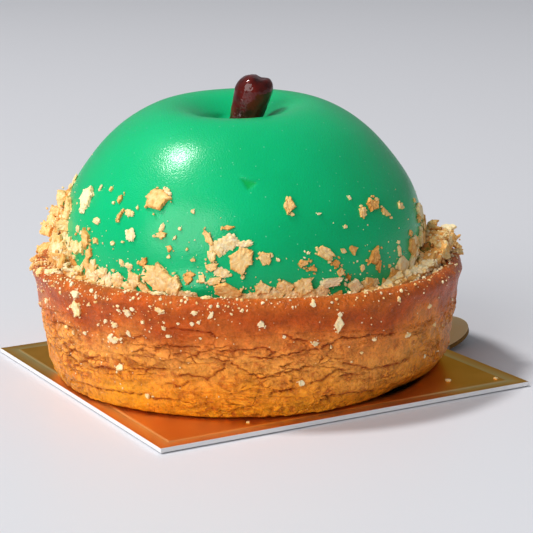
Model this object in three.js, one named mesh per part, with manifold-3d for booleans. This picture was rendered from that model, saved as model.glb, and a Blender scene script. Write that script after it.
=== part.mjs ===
// A small glazed apple tart on its gold card.
//
// A deep pastry case holds a filling, and a dome of green glazed mousse shaped like the top
// half of an apple sits in it. A short chocolate stem stands in the dimple, flakes of crushed
// wafer are heaped round the dome's foot, and the tart stands on a square card with a lift tab.
//
// Millimetres, +Z up. The origin is on the tart's axis, at the card's underside. +X points to
// the card's tab. Angles round the axis are degrees, counted from +X towards +Y.

import * as THREE from "three";
import { mergeVertices } from "three/addons/utils/BufferGeometryUtils.js";
import Module from "manifold-3d";

// ---- Driving dimensions ---------------------------------------------------------------------

// Card
const CARD_SIDE = 73.8;
const CARD_THICK = 0.8;
const CARD_CENTRE = [0.3, -1.2];
const TAB_WIDTH = 19.2;
const TAB_REACH = 10.4;
const TAB_LIFT_DEG = 14;
const TAB_OVERLAP = 0.4; // how far the tab's root reaches into the card
const TAB_CURVE_STEPS = 14;
const BORDER_INSET = 2.5; // pressed line round the card
const BORDER_WIDTH = 0.5;
const BORDER_DEPTH = 0.15;

// Clearance kept between neighbouring pieces
const GAP = 0.3;

// Pastry case, heights above the card's top
const FOOT_RADIUS = 36.1;
const FOOT_ROUNDING = 0.5; // the foot's lower edge is a little rounded
const CASE_RADIUS = 40; // widest, at the lip
const CASE_HEIGHT = 21.4;
const LIP_WIDTH = 3.6;
const LIP_DROP = 2; // from the lip's crest to its widest level
const FILLING_RADIUS = 35.9;
const FILLING_HEIGHT = 16.5;
const LIP_STEPS = 7;
const WALL_STEPS = 15;
const CASE_COLUMNS = 72;
// The wall's outline above the rounded foot: radius, height
const WALL_OUTLINE = [
  [36.5, 1.3],
  [37.4, 4],
  [38, 8],
  [38.7, 13],
  [39.2, 16.5],
];
// The lip is not level: it rises on one side and dips on another
const LIP_RISE = { height: 0.6, azimuth: -165 };
const LIP_TWIST = { height: 0.35, azimuth: -160 };
// A stretch of the foot that baked rounder than the rest
const FOOT_TUCK = { depth: 2.9, azimuth: -65, width: 24, height: 5 };
// Layers that lifted and cracked along the wall as it baked, one line for each height
const CRACK_HEIGHTS = [3.6, 7.6, 11.4, 14.6];
const CRACK_SWING = 1.1;
const CRACK_RELIEF = 0.45;
const FLAP_HEIGHT = 1.9; // how far above a crack the lifted layer still bulges
const CREVICE_HEIGHT = 0.7; // how far below a crack the wall stays sunken
// Heights between which the cracks fade in above the foot, and out below the lip
const CRACKED_FROM = [0.8, 2];
const CRACKED_TO = [16, 19];
const LIP_SWAYS_FROM = 11; // height from which the wall follows the uneven lip

// Glazed dome, heights above the card's top
const DOME_CENTRE = [-0.8, 0.25];
const DOME_TILT_DEG = 1.7;
const DOME_TILT_AZIMUTH = -100;
const DOME_PIVOT_HEIGHT = 18;
const DOME_COLUMNS = 50;
const DOME_ROWS = 20;
const DOME_OUTLINE = [
  [0, 51.4],
  [7.4, 51.7],
  [14.9, 50],
  [21.8, 46.2],
  [27.5, 40.5],
  [31.9, 33.6],
  [33.7, 25.5],
  [33.4, 15],
];
const DIMPLE_CENTRE = [-1.5, -2.2]; // from the dome's own axis
const DIMPLE_DEPTH = 7.4;
const DIMPLE_REACH = 8.2; // distance at which the dimple has lost most of its depth
const DIMPLE_FADE = 12; // height below the dome's shoulder over which the dimple's pull fades out

// Chocolate stem
const STEM_FOOT = [-3.6, -2.3];
const STEM_FOOT_HEIGHT = 39.4; // above the card, so the foot is set into the dome
const STEM_LENGTH = 16.4;
const STEM_FOOT_RADIUS = 2.1;
const STEM_HEAD_RADIUS = 3.4;
const STEM_HEAD_HEIGHT = 2.9; // the rounded end, above the stem's widest level
const STEM_BLUNTNESS = 0.6; // 1 rounds the head as an ellipse, less makes it blunter
const STEM_LEAN_DEG = 17;
const STEM_LEAN_AZIMUTH = -28;
const STEM_SLANT = 0.2; // rise of the head for each mm towards the side it leans to
const STEM_DENT = 0.45; // shallow dent across the blunt head
const STEM_DENT_PLACE = 0.8; // from the stem's axis
const STEM_DENT_WIDTH = 0.9;
const STEM_FLATNESS = 0.94; // front to back, against its width
const STEM_COLUMNS = 20;
const STEM_SIDE_STEPS = 4;
const STEM_HEAD_STEPS = 7;

// Wafer flakes: thin, flat, ragged
const FLAKE_THICK = 0.9;
const FLAKE_CORNERS = 7;
const FLAKE_SUNK = 0.35; // share of the thickness that is stuck in the glaze
const FLAKE_REACH = [0.78, 1.12]; // least and most reach of a corner, against an even outline
// The flakes on the dome that show most: azimuth, height above the card, width, height, turn
const DOME_FLAKES = [
  [-147, 37.4, 4.4, 3.7, 10],
  [-144, 38.9, 1.8, 1.9, 40],
  [-102, 36.7, 2.3, 3.1, 20],
  [-123, 30.9, 4.2, 3.0, 30],
  [-118, 28.6, 3.9, 4.4, 15],
  [-127, 29.3, 2.1, 2.6, 0],
  [-128, 32.3, 1.6, 3.2, 25],
  [-111, 28.8, 2.5, 2.5, 50],
  [-93, 28.6, 3.3, 2.4, 5],
  [-71, 35.1, 3.4, 2.7, 35],
  [-65, 33.2, 2.2, 1.6, 0],
  [-74, 28.3, 3.2, 4.2, 15],
  [-154, 31.5, 1.9, 2.3, 60],
  [-143, 32.4, 2.1, 2.4, 0],
  [-173, 30.5, 3.6, 3.9, 20],
  [178, 36.2, 5.0, 3.8, 45],
];
const HIDDEN_SIDE_FLAKES = 12;
const HIDDEN_SIDE_FROM = -40; // azimuths of the side away from those flakes
const HIDDEN_SIDE_TO = 140;
const HIDDEN_FLAKE_SIZE = [1.6, 4.2];
const HIDDEN_FLAKE_RISE = [3.5, 11.5]; // above the heap's top

// Heap of crushed wafer between dome and lip
const HEAP_TOP = 22.7; // above the card, where the heap is lowest
// Places where the heap climbs the dome: azimuth, width in degrees, extra height
const HEAP_PEAKS = [
  [160, 20, 15],
  [-33, 16, 5],
  [75, 30, 4.5],
  [15, 22, 3],
];
const HEAP_FOOT_THICK = 3.4; // from the dome to the heap's outer face, at the lip
const HEAP_TOP_THICK = 0.9;
const HEAP_PEAK_THICKER = 0.1; // more thickness for each mm that the heap climbs
// The heap's section where it is lowest: radius, height. Inside the dome's skin, it is cut away.
const HEAP_INNER_RADIUS = 32.4;
const HEAP_SECTION = [
  [36.6, FILLING_HEIGHT + GAP],
  [37.2, CASE_HEIGHT - 0.6],
  [37.6, CASE_HEIGHT + 0.2],
  [36.4, HEAP_TOP - 0.2],
  [35, HEAP_TOP],
  [HEAP_INNER_RADIUS, HEAP_TOP + 0.4],
];
const HEAP_COLUMNS = 54;
const HEAP_LUMP = 0.6;
// Waves round the ring that make the lumps: waves in a turn, phase
const HEAP_LUMP_WAVES = [[13, 0], [5, 1], [23, 2]];
const HEAP_FLAKES = 72;
const PILE_FLAKES = 14; // more flakes where the heap climbs highest
const PILE_FROM = 140; // azimuths
const PILE_TO = 182;
const HEAP_FLAKE_MIN = 2.4;
const HEAP_FLAKE_MAX = 5.6;
const HEAP_FLAKE_THICK = 1.1;
const HEAP_FLAKE_CORNERS = 6;
const HEAP_FLAKE_LENGTH = [0.65, 1.05]; // against its width
const HEAP_FLAKE_SUNK = [0.1, 0.6]; // share of the thickness that is inside the heap
const HEAP_FLAKE_LEAN_DEG = [-16, 24]; // from the dome's own lean
const WAFER_SEED = 20;
// The shapes that are cut out of the heap are coarser than dome and case, and so a little larger
const CUTTER_COLUMNS = 42;
const CUTTER_GAP = GAP + 0.12;

const CASE_FLAKE_SUNK = 0.2; // how deep a flake on the pastry sits in its wall
const CASE_FLAKE_LEAN_DEG = -5;
// Flakes stuck to the pastry's side: azimuth, height above the card, width, height, turn
const CASE_FLAKES = [
  [-170, 15.2, 2.4, 2.9, 20],
  [-151, 15.0, 2.4, 1.6, 30],
  [-155, 9.6, 2.3, 1.5, 10],
  [-86, 13.6, 1.5, 2.0, 0],
  [-66, 9.4, 1.7, 1.6, 45],
  [-113, 13.4, 1.3, 1.6, 10],
  [20, 12.5, 2.2, 1.8, 0],
  [95, 10.5, 2.0, 2.4, 25],
];

// ---- Colours and finish ---------------------------------------------------------------------

const GOLD_FOIL = new THREE.MeshStandardMaterial({ color: 0xa87c2e, roughness: 0.35, metalness: 0.9 });
const PASTRY = new THREE.MeshStandardMaterial({ color: 0xc4752f, roughness: 0.6, metalness: 0 });
const GREEN_GLAZE = new THREE.MeshStandardMaterial({ color: 0x12b066, roughness: 0.3, metalness: 0 });
const CHOCOLATE = new THREE.MeshStandardMaterial({ color: 0x3d100c, roughness: 0.15, metalness: 0 });
const WAFER = new THREE.MeshStandardMaterial({ color: 0xe9b768, roughness: 0.75, metalness: 0 });

// ---- Helpers --------------------------------------------------------------------------------

const wasm = await Module();
wasm.setup();

const rad = THREE.MathUtils.degToRad;
const deg = THREE.MathUtils.radToDeg;
const smooth = THREE.MathUtils.smoothstep;

// The same run of numbers from 0 to 1 every time
function seededRandom(seed) {
  let state = seed;
  return () => {
    state = (Math.imul(state, 1664525) + 1013904223) >>> 0;
    return state / 2 ** 32;
  };
}

// A rounded bump of height 1 at one azimuth, in degrees
function bump(azimuth, centre, width) {
  const away = THREE.MathUtils.euclideanModulo(azimuth - centre + 180, 360) - 180;
  return Math.exp(-((away / width) ** 2));
}

function bare(geometry) {
  geometry.deleteAttribute("normal");
  geometry.deleteAttribute("uv");
  return mergeVertices(geometry, 1e-4);
}

function solid(geometry) {
  const merged = bare(geometry);
  const vertProperties = new Float32Array(merged.attributes.position.array);
  const triVerts = new Uint32Array(merged.index.array);
  return new wasm.Manifold(new wasm.Mesh({ numProp: 3, vertProperties, triVerts }));
}

function geometryOf(body) {
  const mesh = body.getMesh();
  const geometry = new THREE.BufferGeometry();
  geometry.setAttribute("position", new THREE.BufferAttribute(mesh.vertProperties, 3));
  geometry.setIndex(new THREE.BufferAttribute(mesh.triVerts, 1));
  return geometry;
}

function largestPiece(body) {
  const pieces = body.decompose();
  return pieces.reduce((best, piece) => (piece.volume() > best.volume() ? piece : best));
}

// Turns an outline of [radius, height] points into a solid of revolution about +Z
function revolved(outline, columns) {
  const points = outline.map(([radius, height]) => new THREE.Vector2(radius, height));
  return new THREE.LatheGeometry(points, columns).rotateX(Math.PI / 2);
}

// Moves each vertex to where place(x, y, z) puts it
function displaced(geometry, place) {
  const position = geometry.attributes.position;
  for (let i = 0; i < position.count; i++) {
    position.setXYZ(i, ...place(position.getX(i), position.getY(i), position.getZ(i)));
  }
  return geometry;
}

function smoothOutline(points, steps) {
  const curve = new THREE.SplineCurve(points.map(([radius, height]) => new THREE.Vector2(radius, height)));
  return curve.getSpacedPoints(steps).map((point) => [point.x, point.y]);
}

// ---- Card -----------------------------------------------------------------------------------

function square(side) {
  const half = side / 2;
  const shape = new THREE.Shape();
  shape.moveTo(-half, -half);
  shape.lineTo(half, -half);
  shape.lineTo(half, half);
  shape.lineTo(-half, half);
  shape.closePath();
  return shape;
}

function pressedBorder() {
  const outer = CARD_SIDE - 2 * BORDER_INSET;
  const shape = square(outer);
  shape.holes.push(square(outer - 2 * BORDER_WIDTH));
  return new THREE.ExtrudeGeometry(shape, { depth: 1, bevelEnabled: false });
}

function tabShape() {
  const radius = TAB_WIDTH / 2;
  const shape = new THREE.Shape();
  shape.moveTo(-TAB_OVERLAP, -radius);
  shape.lineTo(TAB_REACH - radius, -radius);
  shape.absarc(TAB_REACH - radius, 0, radius, -Math.PI / 2, Math.PI / 2, false);
  shape.lineTo(-TAB_OVERLAP, radius);
  shape.closePath();
  return shape;
}

function cardSolid() {
  const extruded = { depth: CARD_THICK, bevelEnabled: false };
  const plate = solid(new THREE.ExtrudeGeometry(square(CARD_SIDE), extruded));
  const tab = new THREE.ExtrudeGeometry(tabShape(), { ...extruded, curveSegments: TAB_CURVE_STEPS });
  tab.rotateY(-rad(TAB_LIFT_DEG));
  tab.translate(CARD_SIDE / 2, 0, TAB_OVERLAP * Math.sin(rad(TAB_LIFT_DEG)));
  const border = pressedBorder().translate(0, 0, CARD_THICK - BORDER_DEPTH);
  return plate
    .add(solid(tab))
    .subtract(solid(border))
    .translate([...CARD_CENTRE, 0]);
}

// ---- Pastry case ----------------------------------------------------------------------------

function lipWave(azimuth) {
  const rise = LIP_RISE.height * Math.cos(rad(azimuth - LIP_RISE.azimuth));
  const twist = LIP_TWIST.height * Math.cos(2 * rad(azimuth - LIP_TWIST.azimuth));
  return rise + twist;
}

// How far the lifted layers stand out of the wall, or the cracks sink into it
function crackRelief(azimuth, height) {
  const turn = rad(azimuth);
  return CRACK_HEIGHTS.reduce((total, level, i) => {
    const wave = Math.sin(2 * turn + 2.1 * i) + 0.6 * Math.sin(5 * turn + 1.3 * i);
    const above = height - level - CRACK_SWING * wave;
    const strength = 0.65 + 0.35 * Math.sin(3 * turn + 4 * i);
    const relief = above > 0 ? Math.exp(-above / FLAP_HEIGHT) : -Math.exp(above / CREVICE_HEIGHT);
    return total + CRACK_RELIEF * strength * relief;
  }, 0);
}

function caseOutline(inflate) {
  const foot = [
    [0, GAP - inflate],
    [FOOT_RADIUS - FOOT_ROUNDING + inflate, GAP - inflate],
    [FOOT_RADIUS + inflate, GAP + FOOT_ROUNDING / 2],
  ];
  const widest = [CASE_RADIUS + inflate, CASE_HEIGHT - LIP_DROP];
  const wall = smoothOutline([...WALL_OUTLINE, widest], WALL_STEPS);
  const crest = CASE_RADIUS - LIP_WIDTH / 2;
  const lip = [];
  for (let i = 1; i <= LIP_STEPS; i++) {
    const turn = (Math.PI * i) / LIP_STEPS;
    const radius = crest + (LIP_WIDTH / 2 + inflate) * Math.cos(turn);
    lip.push([radius, CASE_HEIGHT - LIP_DROP + (LIP_DROP + inflate) * Math.sin(turn)]);
  }
  const floor = [
    [FILLING_RADIUS - inflate, FILLING_HEIGHT + inflate],
    [0, FILLING_HEIGHT + inflate],
  ];
  return [...foot, ...wall, ...lip, ...floor];
}

function caseSolid(inflate = 0, columns = CASE_COLUMNS) {
  const lathe = revolved(caseOutline(inflate), columns);
  const shaped = displaced(lathe, (x, y, z) => {
    const radius = Math.hypot(x, y);
    const azimuth = deg(Math.atan2(y, x));
    const outside = smooth(radius, FOOT_RADIUS - 2, FOOT_RADIUS - 1.5);
    const onWall = smooth(z, ...CRACKED_FROM) * (1 - smooth(z, ...CRACKED_TO)) * outside;
    const tucked = bump(azimuth, FOOT_TUCK.azimuth, FOOT_TUCK.width) * (1 - smooth(z, 0, FOOT_TUCK.height));
    const out = onWall * crackRelief(azimuth, z) - outside * tucked * FOOT_TUCK.depth;
    const swaying = smooth(z, LIP_SWAYS_FROM, CASE_HEIGHT - LIP_DROP);
    const onLip = swaying * smooth(radius, FILLING_RADIUS, FILLING_RADIUS + 0.4);
    const up = lipWave(azimuth) * onLip;
    const scale = radius > 0 ? (radius + out) / radius : 1;
    return [x * scale, y * scale, z + up];
  });
  return solid(shaped.translate(0, 0, CARD_THICK));
}

// The case's outer radius at a height above the card, without its relief
function caseRadiusAt(height) {
  const wall = [...WALL_OUTLINE, [CASE_RADIUS, CASE_HEIGHT - LIP_DROP]];
  const next = Math.max(1, wall.findIndex((point) => point[1] >= height));
  const [low, high] = [wall[next - 1], wall[next]];
  return THREE.MathUtils.mapLinear(height, low[1], high[1], low[0], high[0]);
}

// ---- Flakes ---------------------------------------------------------------------------------

// A thin ragged plate standing in the XZ plane, with its outer face towards +X
function flakeGeometry(width, height, thick, turn, random, corners = FLAKE_CORNERS) {
  const outline = [];
  for (let i = 0; i < corners; i++) {
    const angle = (2 * Math.PI * (i + 0.5 * random())) / corners;
    const reach = THREE.MathUtils.lerp(...FLAKE_REACH, random()) / 2;
    outline.push(new THREE.Vector2(reach * width * Math.cos(angle), reach * height * Math.sin(angle)));
  }
  const plate = new THREE.ExtrudeGeometry(new THREE.Shape(outline), { depth: thick, bevelEnabled: false });
  plate.rotateZ(rad(turn)).rotateX(Math.PI / 2).rotateZ(Math.PI / 2);
  return plate;
}

// Places a flake against an upright round surface, leaning as the surface does
function flakeOn(geometry, azimuth, radius, height, leanDeg) {
  geometry.rotateY(-rad(leanDeg));
  geometry.translate(radius, 0, height);
  return geometry.rotateZ(rad(azimuth));
}

// ---- Dome -----------------------------------------------------------------------------------

const domeProfile = smoothOutline([...DOME_OUTLINE].reverse(), DOME_ROWS);

// The dome's radius at a height above the card, on its side
function domeRadiusAt(height) {
  const next = domeProfile.findIndex((point) => point[1] >= height);
  const [low, high] = [domeProfile[Math.max(0, next - 1)], domeProfile[Math.max(1, next)]];
  return THREE.MathUtils.mapLinear(height, low[1], high[1], low[0], high[0]);
}

// How far the dome's side leans in at a height, in degrees from upright
function domeLeanAt(height) {
  return deg(Math.atan2(domeRadiusAt(height - 0.5) - domeRadiusAt(height + 0.5), 1));
}

// Takes a shape from the dome's own upright frame to its place in the case
function seated(geometry) {
  const axis = new THREE.Vector3(0, 0, 1).cross(
    new THREE.Vector3(Math.cos(rad(DOME_TILT_AZIMUTH)), Math.sin(rad(DOME_TILT_AZIMUTH)), 0),
  );
  const tilt = new THREE.Matrix4().makeRotationAxis(axis, rad(DOME_TILT_DEG));
  geometry.translate(0, 0, -DOME_PIVOT_HEIGHT);
  geometry.applyMatrix4(tilt);
  return geometry.translate(...DOME_CENTRE, DOME_PIVOT_HEIGHT + CARD_THICK);
}

function domeBody(inflate = 0, columns = DOME_COLUMNS) {
  const grown = domeProfile.map(([radius, height], i) => {
    const [before, after] = [domeProfile[Math.max(0, i - 1)], domeProfile[Math.min(DOME_ROWS, i + 1)]];
    const along = Math.hypot(after[0] - before[0], after[1] - before[1]);
    const out = (after[1] - before[1]) / along;
    const up = (before[0] - after[0]) / along;
    return [radius === 0 ? 0 : radius + inflate * out, height + inflate * up];
  });
  const floor = grown[0][1] - 2 * inflate;
  const lathe = revolved([[0, floor], [grown[0][0], floor], ...grown], columns);
  const top = DOME_OUTLINE[3][1];
  const dimpled = displaced(lathe, (x, y, z) => {
    const away = Math.hypot(x - DIMPLE_CENTRE[0], y - DIMPLE_CENTRE[1]);
    const depth = DIMPLE_DEPTH * Math.exp(-((away / DIMPLE_REACH) ** 2));
    return [x, y, z - depth * smooth(z, top - DIMPLE_FADE, top)];
  });
  return solid(seated(dimpled)).trimByPlane([0, 0, 1], FILLING_HEIGHT + GAP - inflate + CARD_THICK);
}

function domeFlakes() {
  const random = seededRandom(WAFER_SEED);
  const placed = [...DOME_FLAKES];
  for (let i = 0; i < HIDDEN_SIDE_FLAKES; i++) {
    const share = (i + random()) / HIDDEN_SIDE_FLAKES;
    const azimuth = THREE.MathUtils.lerp(HIDDEN_SIDE_FROM, HIDDEN_SIDE_TO, share);
    const height = heapTopAt(azimuth) + THREE.MathUtils.lerp(...HIDDEN_FLAKE_RISE, random() ** 2);
    const width = THREE.MathUtils.lerp(...HIDDEN_FLAKE_SIZE, random());
    const tall = THREE.MathUtils.lerp(...HIDDEN_FLAKE_SIZE, random());
    placed.push([azimuth, height, width, tall, 90 * random()]);
  }
  return placed.map(([azimuth, height, width, tall, turn]) => {
    const flake = flakeGeometry(width, tall, FLAKE_THICK, turn, random);
    const radius = domeRadiusAt(height) - FLAKE_SUNK * FLAKE_THICK;
    return solid(seated(flakeOn(flake, azimuth, radius, height, domeLeanAt(height))));
  });
}

// ---- Stem -----------------------------------------------------------------------------------

function stemSolid(inflate = 0) {
  const outline = [[0, -inflate]];
  const shoulder = STEM_LENGTH - STEM_HEAD_HEIGHT;
  for (let i = 0; i <= STEM_SIDE_STEPS; i++) {
    const share = i / STEM_SIDE_STEPS;
    const girth = THREE.MathUtils.lerp(STEM_FOOT_RADIUS, STEM_HEAD_RADIUS, share);
    outline.push([girth + inflate, i === 0 ? -inflate : shoulder * share]);
  }
  for (let i = 1; i <= STEM_HEAD_STEPS; i++) {
    const turn = (Math.PI * i) / (2 * STEM_HEAD_STEPS);
    const round = i === STEM_HEAD_STEPS ? 0 : Math.cos(turn) ** STEM_BLUNTNESS;
    const radius = (STEM_HEAD_RADIUS + inflate) * round;
    outline.push([radius, shoulder + (STEM_HEAD_HEIGHT + inflate) * Math.sin(turn)]);
  }
  const stem = displaced(revolved(outline, STEM_COLUMNS), (x, y, z) => {
    const head = smooth(z, STEM_LENGTH - STEM_HEAD_HEIGHT, STEM_LENGTH);
    const dent = STEM_DENT * head * Math.exp(-(((x - STEM_DENT_PLACE) / STEM_DENT_WIDTH) ** 2));
    const slanted = STEM_SLANT * x * smooth(z, shoulder / 2, STEM_LENGTH);
    return [x, y * STEM_FLATNESS, z + slanted - dent];
  });
  stem.rotateY(rad(STEM_LEAN_DEG)).rotateZ(rad(STEM_LEAN_AZIMUTH));
  stem.translate(...STEM_FOOT, STEM_FOOT_HEIGHT + CARD_THICK);
  return solid(stem);
}

// ---- Heap of wafer --------------------------------------------------------------------------

function heapTopAt(azimuth) {
  return HEAP_PEAKS.reduce((top, [centre, width, extra]) => top + extra * bump(azimuth, centre, width), HEAP_TOP);
}

// The heap's outer face, from the lip up to its top, at a height above the card
function heapRadiusAt(height, azimuth) {
  const top = heapTopAt(azimuth);
  const share = (height - CASE_HEIGHT) / (top + 1 - CASE_HEIGHT);
  const thick = THREE.MathUtils.lerp(HEAP_FOOT_THICK, HEAP_TOP_THICK, share);
  return domeRadiusAt(height) + Math.max(HEAP_TOP_THICK, thick) + HEAP_PEAK_THICKER * (top - HEAP_TOP);
}

// The heap's body: it fills the groove and thins out where it climbs the dome
function heapCore() {
  const base = FILLING_HEIGHT + GAP;
  const section = [[HEAP_INNER_RADIUS, base], ...HEAP_SECTION, [HEAP_INNER_RADIUS, base]];
  const lathe = revolved(section, HEAP_COLUMNS);
  return displaced(lathe, (x, y, z) => {
    const radius = Math.hypot(x, y);
    const azimuth = deg(Math.atan2(y, x));
    const turn = rad(azimuth);
    const [coarse, swell, fine] = HEAP_LUMP_WAVES.map(([waves, phase]) => Math.sin(waves * turn + phase));
    const lump = HEAP_LUMP * (coarse * swell + fine / 2);
    const high = smooth(z, CASE_HEIGHT + 0.2, HEAP_TOP - 0.2);
    const top = z + high * (heapTopAt(azimuth) - HEAP_TOP + lump);
    const inward = high * (domeRadiusAt(z) - domeRadiusAt(top));
    const rim = lipWave(azimuth) * smooth(z, base, CASE_HEIGHT) * (1 - high);
    const scale = (radius - inward + lump * smooth(radius, 35.5, 36.4)) / radius;
    return [x * scale, y * scale, top + rim];
  }).translate(0, 0, CARD_THICK);
}

function heapFlakes() {
  const random = seededRandom(WAFER_SEED + 1);
  const flakes = [];
  for (let i = 0; i < HEAP_FLAKES + PILE_FLAKES; i++) {
    const inPile = i >= HEAP_FLAKES;
    const azimuth = inPile
      ? THREE.MathUtils.lerp(PILE_FROM, PILE_TO, random())
      : (360 * (i + 0.7 * random())) / HEAP_FLAKES - 180;
    const width = THREE.MathUtils.lerp(HEAP_FLAKE_MIN, HEAP_FLAKE_MAX, random());
    const tall = width * THREE.MathUtils.lerp(...HEAP_FLAKE_LENGTH, random());
    const height = THREE.MathUtils.lerp(CASE_HEIGHT + 1, heapTopAt(azimuth) + 0.8, random());
    const lean = domeLeanAt(height) + THREE.MathUtils.lerp(...HEAP_FLAKE_LEAN_DEG, random());
    const turn = 90 * random();
    const flake = flakeGeometry(width, tall, HEAP_FLAKE_THICK, turn, random, HEAP_FLAKE_CORNERS);
    const sunk = HEAP_FLAKE_THICK * THREE.MathUtils.lerp(...HEAP_FLAKE_SUNK, random());
    const radius = heapRadiusAt(height, azimuth) - sunk;
    flakes.push(solid(seated(flakeOn(flake, azimuth, radius, height, lean))));
  }
  return flakes;
}

// ---- Assembly -------------------------------------------------------------------------------

const stem = stemSolid();
const dome = domeBody()
  .add(wasm.Manifold.union(domeFlakes()))
  .subtract(stemSolid(GAP));
const pastryFlakes = CASE_FLAKES.map(([azimuth, height, width, tall, turn], i) => {
  const flake = flakeGeometry(width, tall, FLAKE_THICK, turn, seededRandom(WAFER_SEED + 2 + i));
  const radius = caseRadiusAt(height) - CASE_FLAKE_SUNK;
  return solid(flakeOn(flake, azimuth, radius, height + CARD_THICK, CASE_FLAKE_LEAN_DEG));
});
const pastry = caseSolid().add(wasm.Manifold.union(pastryFlakes));
const heap = largestPiece(
  wasm.Manifold.union([solid(heapCore()), ...heapFlakes()])
    .subtract(domeBody(CUTTER_GAP, CUTTER_COLUMNS))
    .subtract(caseSolid(CUTTER_GAP, CUTTER_COLUMNS)),
);

function piece(name, body, material) {
  const mesh = new THREE.Mesh(geometryOf(body), material);
  mesh.name = name;
  return mesh;
}

const tart = new THREE.Group();
tart.add(piece("cake_card", cardSolid(), GOLD_FOIL));
tart.add(piece("tart_shell", largestPiece(pastry), PASTRY));
tart.add(piece("glazed_dome", largestPiece(dome), GREEN_GLAZE));
tart.add(piece("stem", stem, CHOCOLATE));
tart.add(piece("crumb_ring", heap, WAFER));

export default tart;
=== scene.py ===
# %% [markdown]
# # A glazed apple tart on its gold card
#
# The tart is a single portion: a deep pastry case, a dome of green glazed mousse shaped like
# half an apple, a short chocolate stem in its dimple, and crushed wafer heaped round the dome's
# foot. It stands on a square gold card with a lift tab. The solids of these pieces come in as a
# fixed frame. This lesson gives each of them a finer shape and a real finish, without moving it.

# %% Load the fixed frame
import math
import random

import bpy
import numpy as np
from mathutils import Matrix, Vector, noise
from mathutils.bvhtree import BVHTree


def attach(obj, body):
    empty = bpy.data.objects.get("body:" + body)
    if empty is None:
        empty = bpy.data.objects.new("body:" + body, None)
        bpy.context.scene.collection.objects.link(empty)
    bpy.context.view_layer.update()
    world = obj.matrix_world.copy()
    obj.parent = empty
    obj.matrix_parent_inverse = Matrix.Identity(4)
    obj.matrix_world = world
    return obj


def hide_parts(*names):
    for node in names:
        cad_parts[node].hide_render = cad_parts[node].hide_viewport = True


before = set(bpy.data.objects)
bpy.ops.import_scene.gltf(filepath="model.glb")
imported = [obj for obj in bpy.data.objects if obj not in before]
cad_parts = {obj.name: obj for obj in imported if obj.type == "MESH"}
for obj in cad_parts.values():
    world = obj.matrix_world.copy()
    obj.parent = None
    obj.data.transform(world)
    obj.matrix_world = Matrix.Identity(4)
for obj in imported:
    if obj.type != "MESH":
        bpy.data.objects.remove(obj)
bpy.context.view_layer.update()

MM = 0.001
print("frame nodes:", sorted(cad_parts))

# %% [markdown]
# ## Small tools for the bench
#
# An operator works on everything that is selected, so each step starts from an empty selection.
# Places are easier to read in millimetres, while Blender's meshes here are in metres, so two
# helpers turn a mesh's points into an array of millimetres and back.

# %% Selection and points
def deselect_all():
    if bpy.context.mode != "OBJECT":
        bpy.ops.object.mode_set(mode="OBJECT")
    bpy.ops.object.select_all(action="DESELECT")


def points_of(piece):
    flat = np.empty(len(piece.data.vertices) * 3, np.float32)
    piece.data.vertices.foreach_get("co", flat)
    return flat.reshape(-1, 3).astype(float) / MM


def move_points(piece, points):
    piece.data.vertices.foreach_set("co", (points * MM).astype(np.float32).ravel())
    piece.data.update()


def shade(piece, crease=None):
    """Smooth shading, with a crease where faces meet at more than that angle in degrees."""
    deselect_all()
    piece.select_set(True)
    bpy.context.view_layer.objects.active = piece
    if crease:
        bpy.ops.object.shade_smooth_by_angle(angle=math.radians(crease))
    else:
        bpy.ops.object.shade_smooth()


def triangles_in(piece):
    return sum(len(face.vertices) - 2 for face in piece.data.polygons)


def finish_piece(piece, name, material, node=None):
    """Names the piece, gives it its material and ties it to the frame."""
    piece.name = name
    piece.data.name = name
    piece.data.materials.clear()
    piece.data.materials.append(material)
    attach(piece, "root")
    if node:
        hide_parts(node)
    size = points_of(piece)
    spans = np.round(size.max(axis=0) - size.min(axis=0), 1)
    print(f"{name}: {triangles_in(piece)} triangles, {spans} mm")


# %% [markdown]
# ## Colours and shader nodes
#
# A colour is written as the hex value that an eye would pick from a picture, and Blender's
# shaders want it linear. One helper sets a node's inputs or links them to other nodes, and one
# adds a node with its settings, so a material reads as a short list of what feeds what.

# %% Colour and node helpers
def linear(hex_colour):
    channels = [int(hex_colour[i:i + 2], 16) / 255 for i in (1, 3, 5)]
    curve = [c / 12.92 if c <= 0.04045 else ((c + 0.055) / 1.055) ** 2.4 for c in channels]
    return (*curve, 1.0)


def feed(material, node, inputs):
    """Sets inputs of a node: each is a value, or an output socket of another node to link from."""
    for key, value in inputs.items():
        socket = node.inputs[key]
        if isinstance(value, bpy.types.NodeSocket):
            material.node_tree.links.new(value, socket)
        else:
            socket.default_value = value


def add_node(material, kind, inputs=None, **settings):
    node = material.node_tree.nodes.new(kind)
    for key, value in settings.items():
        setattr(node, key, value)
    feed(material, node, inputs or {})
    return node


def new_material(name):
    """A material with only a Principled shader and its output."""
    material = bpy.data.materials.new(name)
    material.use_nodes = True
    material.node_tree.nodes.clear()
    shader = add_node(material, "ShaderNodeBsdfPrincipled")
    add_node(material, "ShaderNodeOutputMaterial", {"Surface": shader.outputs["BSDF"]})
    return material, shader


# %% [markdown]
# Most of a material is made of the same few steps, so each gets a short name: noise at a size in
# millimetres, arithmetic, a range mapped to another, a mix of two colours, a ramp of colours, a
# bump of a height in millimetres, and a mark that was kept with the piece's points.

# %% Steps that the materials share
def noise_of(material, where, size, detail, roughness=0.5, distortion=0.0, output="Fac"):
    """Noise on the piece's own coordinates, with lumps of about size mm."""
    return add_node(material, "ShaderNodeTexNoise", {
        "Vector": where.outputs["Object"], "Scale": 1 / (size * MM), "Detail": detail,
        "Roughness": roughness, "Distortion": distortion}).outputs[output]


def maths(material, operation, *values):
    inputs = dict(enumerate(values))
    return add_node(material, "ShaderNodeMath", inputs, operation=operation).outputs[0]


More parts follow.
